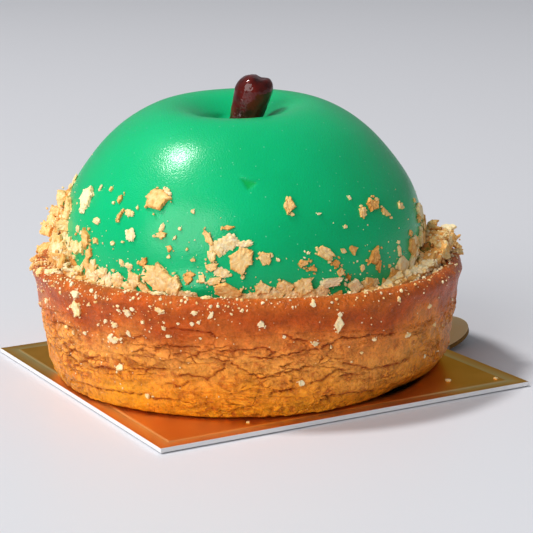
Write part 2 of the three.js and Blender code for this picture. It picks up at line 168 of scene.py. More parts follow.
def mapped(material, value, from_low, from_high, to_low, to_high):
    return add_node(material, "ShaderNodeMapRange", {
        "Value": value, "From Min": from_low, "From Max": from_high,
        "To Min": to_low, "To Max": to_high}).outputs["Result"]


def mixed(material, share, first, second):
    """The first colour where share is 0 and the second where it is 1."""
    inputs = {0: share, 6: first, 7: second}
    return add_node(material, "ShaderNodeMix", inputs, data_type="RGBA").outputs[2]


def ramp_of(material, value, stops):
    """A colour ramp from (position, hex colour) pairs."""
    node = add_node(material, "ShaderNodeValToRGB", {"Fac": value})
    elements = node.color_ramp.elements
    while len(elements) > 1:
        elements.remove(elements[-1])
    elements[0].position = stops[0][0]
    elements[0].color = linear(stops[0][1])
    for position, hex_colour in stops[1:]:
        elements.new(position).color = linear(hex_colour)
    return node.outputs["Color"]


def bumped(material, height, strength, depth):
    return add_node(material, "ShaderNodeBump", {
        "Height": height, "Strength": strength, "Distance": depth * MM}).outputs["Normal"]


def mark(material, name):
    return add_node(material, "ShaderNodeAttribute", attribute_name=name).outputs["Fac"]


# %% [markdown]
# ## Camera
#
# The card's corners, the lip and the dome's outline fix where the photograph was taken from: a
# third of a metre away with a long lens, a little above the tart. The same numbers turn a
# picture point into a ray, which later sets flakes down just where the picture shows them.

# %% Place the camera
PICTURE_SIDE = 533
FOCAL_PIXELS = 1890.7
SENSOR_WIDTH = 36
CAMERA_PLACE = Vector((-160.13, -306.47, 97.78))
CAMERA_RIGHT = Vector((0.87933, -0.47586, -0.01828))
CAMERA_UP = Vector((0.12084, 0.18584, 0.97512))
CAMERA_AHEAD = CAMERA_UP.cross(CAMERA_RIGHT)

camera_data = bpy.data.cameras.new("tart_camera")
camera_data.sensor_width = SENSOR_WIDTH
camera_data.lens = SENSOR_WIDTH * FOCAL_PIXELS / PICTURE_SIDE
camera_data.clip_start = 0.01
camera = bpy.data.objects.new("tart_camera", camera_data)
bpy.context.scene.collection.objects.link(camera)
turned = Matrix((CAMERA_RIGHT, CAMERA_UP, -CAMERA_AHEAD)).transposed()
camera.matrix_world = Matrix.Translation(CAMERA_PLACE * MM) @ turned.to_4x4()
bpy.context.scene.camera = camera
print("camera lens:", round(camera_data.lens, 1), "mm")


# %% [markdown]
# The same camera also works backwards: a column and a row of the picture give the direction from
# the camera to whatever is seen there.

# %% A ray through a point of the picture
def ray_through(column, row):
    half = PICTURE_SIDE / 2
    ray = FOCAL_PIXELS * CAMERA_AHEAD + (column - half) * CAMERA_RIGHT - (row - half) * CAMERA_UP
    return ray.normalized()


# %% [markdown]
# ## Floor and light
#
# Two lights explain the picture. A window above and to the left leaves the highlight on the
# dome's shoulder. A broad, lower softbox at the front left lights the side of the tart that is
# seen and throws the soft shadow back to the right. The sky only lifts the shadows a little.
# Both stand well away, so the plain pale floor is lit evenly.

# %% Plain floor
deselect_all()
bpy.ops.mesh.primitive_plane_add(size=4, location=(0, 0, -0.0002))
floor = bpy.context.object
floor.name = "floor"
stone, stone_shader = new_material("honed pale stone")
feed(stone, stone_shader, {"Base Color": linear("#dedee2"), "Roughness": 0.45})
floor.data.materials.append(stone)

# %% [markdown]
# Area lights are the softboxes. Each is given by the direction in which the dome's shoulder sees
# it, so its highlight is easy to place, and by a distance, a size and a power.

# %% Softboxes and sky
DOME_SHOULDER = Vector((-20, -15, 44))


def softbox(name, towards, distance, size, watts):
    """A square area light seen from the dome's shoulder in one direction, and facing it."""
    data = bpy.data.lights.new(name, "AREA")
    data.size = size
    data.energy = watts
    light = bpy.data.objects.new(name, data)
    bpy.context.scene.collection.objects.link(light)
    direction = Vector(towards).normalized()
    light.location = DOME_SHOULDER * MM + direction * distance
    light.rotation_mode = "QUATERNION"
    light.rotation_quaternion = direction.to_track_quat("Z", "Y")


softbox("window_above_left", (-0.404, 0.265, 0.876), 1.75, 0.27, 20.5)
softbox("softbox_front_left", (-0.82, -0.34, 0.45), 2.25, 1.7, 38.5)
sky = bpy.data.worlds.new("pale room")
sky.use_nodes = True
feed(sky, sky.node_tree.nodes["Background"], {"Color": linear("#e9edf4"), "Strength": 0.26})
bpy.context.scene.world = sky
bpy.context.scene.view_settings.view_transform = "Standard"

# %% [markdown]
# ## Shapes turned on a wheel
#
# Pastry case, dome, stem and heap are all round, as things are that were baked or set in a ring.
# Each starts as an outline, from its axis out and back or closed on itself, which Spin turns into
# a skin without gaps. The unevenness of real food is put in afterwards by moving the points.

# %% Smooth outlines
CURVE_STEPS = 40


def smooth_outline(knots, steps):
    """A curve through the knots, cut into steps of equal length."""
    knots = np.array(knots, float)
    padded = np.vstack([2 * knots[0] - knots[1], knots, 2 * knots[-1] - knots[-2]])
    fine = []
    for before, start, end, after in zip(padded, padded[1:], padded[2:], padded[3:]):
        for t in np.linspace(0, 1, CURVE_STEPS, endpoint=False):
            curve = 2 * start + (end - before) * t
            curve = curve + (2 * before - 5 * start + 4 * end - after) * t ** 2
            curve = curve + (3 * start - before - 3 * end + after) * t ** 3
            fine.append(curve / 2)
    fine = np.array([*fine, knots[-1]])
    travelled = np.concatenate([[0], np.cumsum(np.linalg.norm(np.diff(fine, axis=0), axis=1))])
    stops = np.linspace(0, travelled[-1], steps + 1)
    return np.column_stack([np.interp(stops, travelled, fine[:, i]) for i in (0, 1)])


# %% [markdown]
# Spin sweeps an outline round the axis. Copies of points that meet on the axis or at the seam are
# merged, and the normals are then made to point outwards. Merging may number the points and
# faces differently from run to run, and flakes are strewn by face number, so they are put in one
# fixed order. Every run then gives the same tart.

# %% Spin an outline
ORDER_DECIMALS = 4  # of a millimetre, coarser than the merging's rounding
MERGE_DISTANCE = 1e-6  # metres


def in_fixed_order(piece):
    """Puts points and faces in an order that depends on their places alone."""
    points = points_of(piece)
    order = np.lexsort(np.round(points, ORDER_DECIMALS).T)
    rank = np.argsort(order).tolist()
    faces = []
    for face in piece.data.polygons:
        corners = [rank[point] for point in face.vertices]
        first = corners.index(min(corners))
        faces.append(corners[first:] + corners[:first])
    piece.data.clear_geometry()
    piece.data.from_pydata((points[order] * MM).tolist(), [], sorted(faces))
    piece.data.update()


def spun(outline, steps):
    """A closed skin from an outline of (radius, height) in mm, on the axis or a closed ring."""
    deselect_all()
    bpy.ops.mesh.primitive_circle_add(vertices=len(outline), radius=1)
    piece = bpy.context.object
    move_points(piece, np.array([(radius, 0, height) for radius, height in outline]))
    bpy.ops.object.mode_set(mode="EDIT")
    bpy.ops.mesh.select_all(action="SELECT")
    bpy.ops.mesh.spin(steps=steps, angle=2 * math.pi, center=(0, 0, 0), axis=(0, 0, 1))
    bpy.ops.mesh.select_all(action="SELECT")
    bpy.ops.mesh.remove_doubles(threshold=MERGE_DISTANCE)
    bpy.ops.mesh.select_all(action="SELECT")
    bpy.ops.mesh.normals_make_consistent(inside=False)
    bpy.ops.object.mode_set(mode="OBJECT")
    in_fixed_order(piece)
    return piece


# %% [markdown]
# Food is never quite regular. Fractal noise gives lumps of a chosen size in millimetres, a bump
# gives one soft swelling at one side, and an attribute keeps a number with each point for later.

# %% Noise, bumps and smooth steps
def noise_at(points, scale, seed=0, octaves=3):
    """Rough clouds from about -1 to 1, one lump for every scale mm along x, y and z."""
    spread = points / np.array(scale) + 31.7 * seed
    return np.array([noise.fractal(p, 1.0, 2.0, octaves) for p in spread.tolist()])


def smooth(values, low, high):
    share = np.clip((values - low) / (high - low), 0, 1)
    return share * share * (3 - 2 * share)


def bump(azimuth, centre, width):
    away = np.mod(azimuth - centre + 180, 360) - 180
    return np.exp(-((away / width) ** 2))


def write_attribute(piece, name, values):
    attribute = piece.data.attributes.new(name, "FLOAT", "POINT")
    attribute.data.foreach_set("value", np.asarray(values, np.float32))


# %% [markdown]
# ## Gold card
#
# The card is cut from white board with gold foil on its face. Two presses shaped it: one cut
# the outline, one left a thin line round the edge. The tab is bent up so that a finger gets
# under it. A cube gives the board, inset gives the pressed line, and the tab is half a disc.

# %% Cut the board
CARD_SIDE = 73.8
CARD_THICK = 0.8
CARD_CENTRE = (0.3, -1.2)
BORDER_INSET = 2.5
BORDER_WIDTH = 0.6
BORDER_DEPTH = 0.15
LINE_SIDE = 0.1  # width of each steep side of the pressed line
EDGE_BEVEL = 0.06

deselect_all()
bpy.ops.mesh.primitive_cube_add(
    size=1,
    location=(CARD_CENTRE[0] * MM, CARD_CENTRE[1] * MM, CARD_THICK * MM / 2),
    scale=(CARD_SIDE * MM, CARD_SIDE * MM, CARD_THICK * MM),
)
card = bpy.context.object
bpy.ops.object.transform_apply(location=True, rotation=True, scale=True)
bpy.ops.object.mode_set(mode="EDIT")
bpy.ops.mesh.select_all(action="SELECT")
bpy.ops.mesh.bevel(offset=EDGE_BEVEL * MM, segments=2, affect="EDGES")
bpy.ops.object.mode_set(mode="OBJECT")
print("board:", len(card.data.polygons), "faces")


# %% [markdown]
# Four insets of the top face draw a thin frame of faces near the border, and the points between
# them are pushed down. Two of the insets are very narrow, which gives the line its steep sides.

# %% Press the line
def select_faces(piece, wanted):
    """Selects the faces for which wanted(face) is true, and goes into edit mode."""
    bpy.ops.object.mode_set(mode="OBJECT")
    for face in piece.data.polygons:
        face.select = False
    for edge in piece.data.edges:
        edge.select = False
    for point in piece.data.vertices:
        point.select = False
    for face in piece.data.polygons:
        face.select = wanted(face)
    bpy.ops.object.mode_set(mode="EDIT")


def is_top(face):
    return face.normal.z > 0.9 and face.area > (40 * MM) ** 2


bpy.ops.object.mode_set(mode="EDIT")
bpy.ops.mesh.select_mode(type="FACE")
select_faces(card, is_top)
bpy.ops.mesh.inset(thickness=BORDER_INSET * MM)
bpy.ops.mesh.inset(thickness=LINE_SIDE * MM)
bpy.ops.mesh.inset(thickness=(BORDER_WIDTH - 2 * LINE_SIDE) * MM)
bpy.ops.mesh.inset(thickness=LINE_SIDE * MM)
bpy.ops.object.mode_set(mode="OBJECT")
sheet = points_of(card)
reach = np.abs(sheet[:, :2] - CARD_CENTRE).max(axis=1)
middle = CARD_SIDE / 2 - BORDER_INSET - BORDER_WIDTH / 2
pressed = (sheet[:, 2] > CARD_THICK - 0.01) & (np.abs(reach - middle) < BORDER_WIDTH / 2 - 0.05)
sheet[pressed, 2] -= BORDER_DEPTH
move_points(card, sheet)
print("points pressed down:", int(pressed.sum()))

# %% [markdown]
# The tab is a half disc of the same board, bent up at a crease along the card's side. A disc is
# cut in half by bisect, its straight side is drawn back to the crease, Solidify gives it the
# board's thickness, and it is turned about the crease.

# %% Bend up the tab
TAB_WIDTH = 19.2
TAB_REACH = 10.4
TAB_LIFT = math.radians(14)
TAB_OVERLAP = 0.4
HINGE = Vector((CARD_SIDE / 2 + CARD_CENTRE[0], CARD_CENTRE[1], TAB_OVERLAP * math.sin(TAB_LIFT)))

deselect_all()
bpy.ops.mesh.primitive_circle_add(vertices=96, radius=TAB_WIDTH * MM / 2, fill_type="NGON")
tab = bpy.context.object
bpy.ops.object.mode_set(mode="EDIT")
bpy.ops.mesh.select_all(action="SELECT")
bpy.ops.mesh.bisect(plane_co=(0, 0, 0), plane_no=(1, 0, 0), clear_inner=True)
bpy.ops.mesh.select_all(action="SELECT")
bpy.ops.transform.translate(value=((TAB_REACH - TAB_WIDTH / 2) * MM, 0, 0))
bpy.ops.object.mode_set(mode="OBJECT")
leaf = points_of(tab)
root = leaf[:, 0] < TAB_REACH - TAB_WIDTH / 2 + 0.01
leaf[root, 0] = -TAB_OVERLAP
leaf[root, 1] = np.sign(leaf[root, 1]) * TAB_WIDTH / 2
move_points(tab, leaf)
bpy.ops.object.modifier_add(type="SOLIDIFY")
tab.modifiers["Solidify"].thickness = CARD_THICK * MM
tab.modifiers["Solidify"].offset = 1
bpy.ops.object.modifier_apply(modifier="Solidify")
bpy.ops.object.mode_set(mode="EDIT")
bpy.ops.mesh.select_all(action="SELECT")
bpy.ops.transform.rotate(value=TAB_LIFT, orient_axis="Y", center_override=(0, 0, 0))
bpy.ops.transform.translate(value=HINGE * MM)
bpy.ops.mesh.normals_make_consistent(inside=False)
bpy.ops.object.mode_set(mode="OBJECT")
print("tab from", points_of(tab).min(axis=0).round(2), "to", points_of(tab).max(axis=0).round(2))

# %% [markdown]
# Boolean union joins the two into one skin. Two marks are kept for the paint: which points belong
# to the tab and which lie on the floor of the pressed line.

# %% Join tab and board
deselect_all()
card.select_set(True)
bpy.context.view_layer.objects.active = card
bpy.ops.object.modifier_add(type="BOOLEAN")
card.modifiers["Boolean"].object = tab
card.modifiers["Boolean"].operation = "UNION"
bpy.ops.object.modifier_apply(modifier="Boolean")
bpy.data.objects.remove(tab)
shade(card, 20)
sheet = points_of(card)
reach = np.abs(sheet[:, :2] - CARD_CENTRE).max(axis=1)
# The floor of the pressed line is marked for a painted highlight.
line_glint = (sheet[:, 2] > CARD_THICK / 2) & (np.abs(reach - middle) < BORDER_WIDTH / 2 - 0.05)
write_attribute(card, "tab", sheet[:, 0] > HINGE[0] + 0.2)
write_attribute(card, "pressed", line_glint)
print("card:", triangles_in(card), "triangles")

# %% [markdown]
# The finish is a thin metal foil over paper. Foil on board is satin rather than mirror-like,
# with a fine grain from the paper below and faint rubs. The press line is painted brighter:
# a painted highlight where it catches the light. The cut edge and the underside are bare white
# paper, which the material finds by the direction in which the surface faces. On the tab that
# paper is painted brown as shade, and the foil is painted paler and made less metallic: partly
# its own matte tan-gold, partly painted light where the tart's shadow falls on it.

# %% Gold foil on white board
foil, shader = new_material("gold foil on paperboard, hot pressed")
where = add_node(foil, "ShaderNodeTexCoord")
facing = add_node(foil, "ShaderNodeSeparateXYZ", {"Vector": where.outputs["Normal"]})
paper = maths(foil, "LESS_THAN", facing.outputs["Z"], 0.6)
tab_mark = mark(foil, "tab")
# Painted shade: on the tab, the paper of the edge and underside is painted dark brown.
paper_and_tab_shade = mixed(foil, tab_mark, linear("#e4e4e6"), linear("#8a6634"))
rubs = noise_of(foil, where, 9, 4)
foil_tone = ramp_of(foil, rubs, [(0.35, "#f6c070"), (0.65, "#ffcb78")])
# The tab's foil is painted paler: partly its own matte tan-gold, partly painted light in the tart's
# shadow.
tab_painted_light = mixed(foil, maths(foil, "MULTIPLY", tab_mark, 0.8), foil_tone, linear("#fff0b8"))
# Painted highlight: the pressed line is painted pale gold, as if it caught the light.
line_glint_tone = mixed(foil, mark(foil, "pressed"), tab_painted_light, linear("#fff0b8"))
# Less metal on the tab too, so that it stays light in the tart's shadow.
foiled = maths(foil, "MULTIPLY_ADD", tab_mark, -0.85, 1.0)
gloss = mapped(foil, rubs, 0.0, 1.0, 0.3, 0.42)
roughness = add_node(foil, "ShaderNodeMix", {0: paper, 2: gloss, 3: 0.8}, data_type="FLOAT")
feed(foil, shader, {
    "Base Color": mixed(foil, paper, line_glint_tone, paper_and_tab_shade),
    "Metallic": maths(foil, "MULTIPLY", foiled, maths(foil, "SUBTRACT", 1.0, paper)),
    "Roughness": roughness.outputs[0],
    "Specular Tint": linear("#d9ac5e"),
    "Normal": bumped(foil, noise_of(foil, where, 0.5, 3), 0.08, 0.05),
})
finish_piece(card, "gold_foil_card", foil, "cake_card")

# %% [markdown]
# ## Pastry case
#
# The case was pressed into a ring and baked, so its side carries the ring's smooth shape. Its
# outline is spun from the foot up the wall, over the rolled lip and back to the filling's level,
# fine enough for detail of a third of a millimetre.

# %% Turn the case
CASE_RADIUS = 40
CASE_HEIGHT = 21.4
LIP_WIDTH = 3.6
LIP_DROP = 2
FOOT_RADIUS = 36.1
FOOT_ROUNDING = 0.5
FILLING_RADIUS = 35.9
FILLING_HEIGHT = 16.5
CARD_GAP = 0.3
WALL_OUTLINE = [(36.5, 1.3), (37.4, 4), (38, 8), (38.7, 13), (39.2, 16.5)]
CASE_COLUMNS = 720
WALL_STEPS = 100
LIP_STEPS = 18

case_outline = [(0, CARD_GAP), (FOOT_RADIUS - 2, CARD_GAP), (FOOT_RADIUS - FOOT_ROUNDING, CARD_GAP)]
case_outline += [(FOOT_RADIUS - 0.1, 0.42), (FOOT_RADIUS + 0.1, 0.65), (FOOT_RADIUS + 0.25, 0.95)]
wall_knots = [*WALL_OUTLINE, (CASE_RADIUS, CASE_HEIGHT - LIP_DROP)]
case_outline += smooth_outline(wall_knots, WALL_STEPS).tolist()
for step in range(1, LIP_STEPS + 1):
    turn = math.pi * step / LIP_STEPS
    radius = CASE_RADIUS - LIP_WIDTH / 2 + LIP_WIDTH / 2 * math.cos(turn)
    case_outline.append((radius, CASE_HEIGHT - LIP_DROP + LIP_DROP * math.sin(turn)))
case_outline += [(36.1, 17.8), (FILLING_RADIUS, FILLING_HEIGHT), (0, FILLING_HEIGHT)]
case = spun(case_outline, CASE_COLUMNS)
print("case:", triangles_in(case), "triangles")

# %% [markdown]
# The crust dried and lifted in layers that run round the wall, the lip is not level, and one
# stretch of the foot baked rounder. The solid has the same three departures from a plain ring,
# so the same rules are used here and the two keep the same shape.

# %% The unevenness that the solid has
LIP_RISE = (0.6, -165)
LIP_TWIST = (0.35, -160)
FOOT_TUCK = {"depth": 2.9, "azimuth": -65, "width": 24, "height": 5}
LAYER_HEIGHTS = (3.6, 7.6, 11.4, 14.6)
LAYER_SWING = 1.1
LAYER_RELIEF = 0.45
LAYER_SHARE = 0.6
FLAP_HEIGHT = 1.9
CREVICE_HEIGHT = 0.7

wall = points_of(case)
height = wall[:, 2].copy()
radius = np.hypot(wall[:, 0], wall[:, 1])
turn = np.arctan2(wall[:, 1], wall[:, 0])
azimuth = np.degrees(turn)


def lip_wave(turn):
    rise = LIP_RISE[0] * np.cos(turn - math.radians(LIP_RISE[1]))
    return rise + LIP_TWIST[0] * np.cos(2 * (turn - math.radians(LIP_TWIST[1])))


layers = np.zeros(len(wall))
for i, level in enumerate(LAYER_HEIGHTS):
    wave = np.sin(2 * turn + 2.1 * i) + 0.6 * np.sin(5 * turn + 1.3 * i)
    above = height - level - LAYER_SWING * wave
    strength = LAYER_RELIEF * (0.65 + 0.35 * np.sin(3 * turn + 4 * i))
    flap = np.exp(-np.maximum(above, 0) / FLAP_HEIGHT)
    crevice = -np.exp(np.minimum(above, 0) / CREVICE_HEIGHT)
    layers += strength * np.where(above > 0, flap, 0.5 * crevice)
outside = smooth(radius, FOOT_RADIUS - 2, FOOT_RADIUS - 1.5)
on_wall = smooth(height, 0.8, 2) * (1 - smooth(height, 16, 19)) * outside
tuck = bump(azimuth, FOOT_TUCK["azimuth"], FOOT_TUCK["width"])
tuck = tuck * (1 - smooth(height, 0, FOOT_TUCK["height"]))
outward = LAYER_SHARE * on_wall * layers - outside * tuck * FOOT_TUCK["depth"]
on_lip = smooth(height, 11, CASE_HEIGHT - LIP_DROP)
on_lip = on_lip * smooth(radius, FILLING_RADIUS, FILLING_RADIUS + 0.4)
upward = lip_wave(turn) * on_lip
print("layers stand out by up to", round(float((on_wall * layers).max()), 2), "mm")

# %% [markdown]
# Between those big waves the crust is flaky: thin layers end in ragged, roughly level edges, each
# a little proud of the one below. A cloud of noise that also grows with height is cut into whole
# numbers. Each time it passes one, a new layer starts, stands out and then fades upward. Another
# noise is folded at zero, which gives thin wandering lines: the wrinkles of the drying skin.

# %% Flaky layers
LAYER_LIFT = 0.36
LAYERS_PER_MM = 0.3
WRINKLE_SHARPNESS = 7
WRINKLE_DEPTH = 0.16
WRINKLE_TONE = 0.4
GRAIN_RELIEF = 0.12
SWELL_RELIEF = 0.16
CRACK_RELIEF = 0.2

warp = np.column_stack([noise_at(wall, (4.5, 4.5, 3.5), seed) for seed in (1, 2, 3)])
field = 1.5 * noise_at(wall + warp, (8, 8, 3.2), 7, 4) + LAYERS_PER_MM * height
above_edge = field - np.floor(field)
edge_away = np.minimum(above_edge, 1 - above_edge)
patches = smooth(noise_at(wall, (13, 13, 5), 8), -0.5, 0.25)
flaky = patches * (1 - smooth(height, 12.5, 16)) * outside
ragged = flaky * smooth(noise_at(wall, (6, 6, 3), 9), -0.25, 0.3)
lift = LAYER_LIFT * flaky * ((1 - above_edge) ** 1.4 - 0.4)
crack = 0.4 * ragged * np.exp(-((edge_away / 0.05) ** 2))
grain = GRAIN_RELIEF * noise_at(wall, (1.1, 1.1, 0.8), 11, 2) * (0.3 + 0.7 * flaky)
swell = SWELL_RELIEF * noise_at(wall, (5, 5, 3.5), 12)
wrinkle = 1 - WRINKLE_SHARPNESS * np.abs(noise_at(wall + 0.5 * warp, (2.8, 2.8, 1.7), 16, 3))
wrinkle = np.clip(wrinkle, 0, 1) * (0.3 + 0.7 * flaky) * outside * (1 - smooth(height, 14, 17))
crack = np.maximum(crack, WRINKLE_TONE * wrinkle)
outward += lift + (grain + swell) * outside - CRACK_RELIEF * crack - WRINKLE_DEPTH * wrinkle
print("flaky share of the skin:", round(float(flaky.mean()), 2))

# %% [markdown]
# The longest cracks give this crust its character, so they are set where the picture has them.
# Each is a short line of picture points. Every point of the wall that faces the camera is
# projected into the picture, and its distance to the line says how deep it sinks.

# %% Long cracks that the picture shows
LONG_CRACKS = [
    [(200, 333), (211, 333), (215, 336)],
    [(250, 356), (261, 359), (276, 357), (292, 354), (304, 351), (316, 349), (329, 346), (335, 341),
     (344, 337), (353, 339), (368, 336)],
    [(220, 351), (238, 351), (250, 349), (266, 347), (275, 352), (269, 356)],
    [(215, 359), (232, 362), (240, 368), (250, 373), (261, 379), (270, 377), (280, 373), (295, 370),
     (306, 366)],
    [(270, 393), (283, 391), (295, 388)],
    [(310, 383), (321, 382), (327, 376), (336, 370), (344, 370)],
    [(341, 376), (350, 374), (359, 374)],
    [(345, 363), (359, 365), (362, 368), (374, 368), (387, 366), (399, 363), (405, 359)],
    [(368, 334), (384, 335), (394, 333)],
    [(322, 397), (338, 394), (353, 393), (373, 390)],
    [(283, 335), (295, 338), (307, 341)],
    [(332, 345), (327, 356)],
    [(56, 321), (63, 322), (71, 327), (76, 328)],
    [(75, 366), (81, 363), (88, 359), (99, 356)],
    [(64, 341), (70, 354), (78, 363)],
    [(92, 367), (103, 367), (111, 369), (120, 374)],
    [(119, 355), (125, 358), (128, 365), (137, 370), (143, 368), (145, 371), (153, 368),
     (165, 369)],
    [(124, 336), (133, 338), (142, 336), (149, 340)],
    [(171, 328), (183, 330), (193, 330), (207, 332), (213, 336)],
    [(154, 346), (162, 345), (171, 346), (185, 347), (199, 346)],
    [(176, 354), (185, 351), (196, 356), (201, 352)],
    [(181, 376), (189, 375), (200, 377), (207, 379), (219, 371), (225, 368), (222, 362),
     (216, 359)],
    [(168, 384), (174, 384), (181, 388), (189, 382)],
    [(82, 382), (94, 387), (108, 390), (125, 392), (141, 394)],
    [(151, 398), (161, 399), (171, 400)],
]
CRACK_SINK = 0.36
CRACK_HALF_WIDTH = 0.85  # picture points
FLAP_LIFT = 0.26
FLAP_REACH = 7.0  # picture points
FLAP_SHADOW = 3  # picture points
CRACK_WANDER = 2.0  # picture points
FAR_AWAY = 99.0  # picture points


def picture_points(points):
    """Columns and rows of the picture at which points (mm) are seen."""
    offset = points - np.array(CAMERA_PLACE)
    depth = offset @ np.array(CAMERA_AHEAD)
    column = PICTURE_SIDE / 2 + FOCAL_PIXELS * (offset @ np.array(CAMERA_RIGHT)) / depth
    row = PICTURE_SIDE / 2 - FOCAL_PIXELS * (offset @ np.array(CAMERA_UP)) / depth
    return np.column_stack([column, row])


CARD_TOP = np.array([0, 0, CARD_THICK])
share = np.where(radius > 0, (radius + outward) / np.maximum(radius, 1e-6), 1)
shaped = np.column_stack([wall[:, 0] * share, wall[:, 1] * share, height + upward]) + CARD_TOP
to_camera = np.array(CAMERA_PLACE)[:2] - shaped[:, :2]
facing = (to_camera * shaped[:, :2]).sum(axis=1) > 0.1 * np.linalg.norm(to_camera, axis=1) * radius
seen = np.flatnonzero(facing & (on_wall > 0.05))
picture = picture_points(shaped[seen])
jitter = [noise_at(wall[seen], (1.2, 1.2, 0.9), seed, 3) for seed in (14, 15)]
picture += CRACK_WANDER * np.column_stack(jitter)
nearest = np.full(len(seen), FAR_AWAY)
above_line = np.zeros(len(seen))
for line in LONG_CRACKS:
    for start, end in zip(np.array(line[:-1], float), np.array(line[1:], float)):
        along = end - start
        place = np.clip((picture - start) @ along / (along @ along), 0, 1)
        gap = picture - start - place[:, None] * along
        away = np.linalg.norm(gap, axis=1)
        closer = away < nearest
        nearest = np.where(closer, away, nearest)
        above_line = np.where(closer, -gap[:, 1], above_line)
long_crack = np.exp(-((nearest / CRACK_HALF_WIDTH) ** 2))
shadow = -0.5 * np.exp(-nearest / FLAP_SHADOW)
flap = np.where(above_line > 0, np.exp(-nearest / FLAP_REACH), shadow)
outward[seen] += FLAP_LIFT * flap * on_wall[seen] - CRACK_SINK * long_crack
crack[seen] = np.maximum(crack[seen], long_crack)
print("points on long cracks:", int((long_crack > 0.5).sum()))

# %% [markdown]
# Now the points are moved, and four marks are kept with them for the paint: how high a point sits,
# how near a crack it is, how flaky its layer is, and how far up its layer it lies, for painted
# shade.

# %% Move the case's points
share = np.where(radius > 0, (radius + outward) / np.maximum(radius, 1e-6), 1)
baked = np.column_stack([wall[:, 0] * share, wall[:, 1] * share, height + upward]) + CARD_TOP
baked[:, 2] = np.maximum(baked[:, 2], CARD_THICK + CARD_GAP)
move_points(case, baked)
write_attribute(case, "rise", height / CASE_HEIGHT)
write_attribute(case, "crack", np.clip(crack, 0, 1))
write_attribute(case, "flaky", flaky)
# Painted shade: this mark makes each flap lighter where it juts out and darker under the next flap.
write_attribute(case, "layer_shade", flaky * (0.5 - above_edge))
shade(case)

# %% [markdown]
# Baked butter pastry is a crumb with a little fat in its skin, so it glistens here and there. The
# lip browned to orange, a smoother red-brown band lies below it, and the lower part stayed more
# yellow, with brown veins and dark red lines where the crust cracked. Noise at the size of the
# real pores pits it, with painted shade in the pits, and a coarser noise gives the veins. Each
# flaky layer is painted lighter where it juts out and darker, as painted shade, under the next.
# Light sinks in a little, and butter leaves a thin wet coat that glints on the pores' edges.

# %% Baked pastry
pastry, shader = new_material("baked butter pastry")
where = add_node(pastry, "ShaderNodeTexCoord")
rise, crack_mark, flaky_mark, layer_shade_mark = [
    mark(pastry, name) for name in ("rise", "crack", "flaky", "layer_shade")]
drift = maths(pastry, "MULTIPLY_ADD", noise_of(pastry, where, 12, 5), 0.75, -0.375)
bands = ramp_of(pastry, maths(pastry, "ADD", rise, drift), [
    (0.0, "#ffa622"), (0.2, "#ff9c2a"), (0.45, "#ffa648"), (0.6, "#f68f3c"), (0.7, "#d96c26"),
    (0.78, "#c05016"), (0.86, "#c65414"), (0.94, "#cc601a"), (1.0, "#d0661e"),
])
mottle = noise_of(pastry, where, 2.2, 5)
# Painted shade under each flap's overhang, on top of random mottling.
tone = maths(pastry, "MULTIPLY_ADD", layer_shade_mark, 0.35, mottle)
mottle_and_layer_shade = mapped(pastry, tone, 0.25, 0.75, 0.7, 1.32)
pores = noise_of(pastry, where, 0.65, 5, 0.65)
# Painted shade in the pores: the colour is darker where the bump dips.
pit_shade = mapped(pastry, pores, 0.3, 0.6, 0.76, 1.08)
veined = mapped(pastry, noise_of(pastry, where, 1.7, 6, 0.68, 0.6), 0.5, 0.64, 0.0, 0.7)
toned = add_node(pastry, "ShaderNodeVectorMath", {
    0: mixed(pastry, veined, bands, linear("#bc5418")),
    "Scale": maths(pastry, "MULTIPLY", mottle_and_layer_shade, pit_shade)}, operation="SCALE")

# %% [markdown]
# The crazing: a cell pattern's borders, squeezed in height so that the cells lie flat, and bent
# by noise so that they wander. It darkens the skin along its lines and sinks them a little.

# %% Crazing and finish
stretch = add_node(pastry, "ShaderNodeVectorMath",
                   {0: where.outputs["Object"], 1: (1, 1, 2.3)}, operation="MULTIPLY")
wander = noise_of(pastry, where, 2.4, 3, output="Color")
bent = add_node(pastry, "ShaderNodeVectorMath",
                {0: wander, 1: (2.6 * MM,) * 3, 2: stretch.outputs["Vector"]},
                operation="MULTIPLY_ADD")
cells = add_node(pastry, "ShaderNodeTexVoronoi",
                 {"Vector": bent.outputs["Vector"], "Scale": 1 / (3.6 * MM)},
                 feature="DISTANCE_TO_EDGE")
craze = mapped(pastry, cells.outputs["Distance"], 0.0, 0.07, 1.0, 0.0)
broken = mapped(pastry, mottle, 0.4, 0.6, 0.0, 0.75)
craze_line = maths(pastry, "MULTIPLY", maths(pastry, "MULTIPLY", craze, flaky_mark), broken)
lines = maths(pastry, "MAXIMUM", craze_line, crack_mark)
crumb = bumped(pastry, maths(pastry, "MULTIPLY_ADD", craze_line, -0.8, pores), 1.0, 0.5)
feed(pastry, shader, {
    "Base Color": mixed(pastry, lines, toned.outputs["Vector"], linear("#a8380c")),
    "Roughness": 0.33, "Specular IOR Level": 0.26, "Specular Tint": linear("#ffc890"),
    "Subsurface Weight": 0.12, "Subsurface Radius": (1.0, 0.42, 0.12),
    "Subsurface Scale": 0.9 * MM, "Coat Weight": 0.2, "Coat Roughness": 0.15,
    "Normal": crumb, "Coat Normal": crumb,
})
finish_piece(case, "pastry_case", pastry, "tart_shell")

# %% [markdown]
# ## Glazed dome
#
# Mousse was frozen in an apple-shaped mould and coated with warm green glaze, which set in a
# smooth skin. The skin shows what the pour did: soft creases by the dimple, a nick on the front,
# and a bead where glaze ran down and pooled at the foot. The outline is spun, dimpled beside its
# axis, tilted a little, and cut level where it stands on the filling.

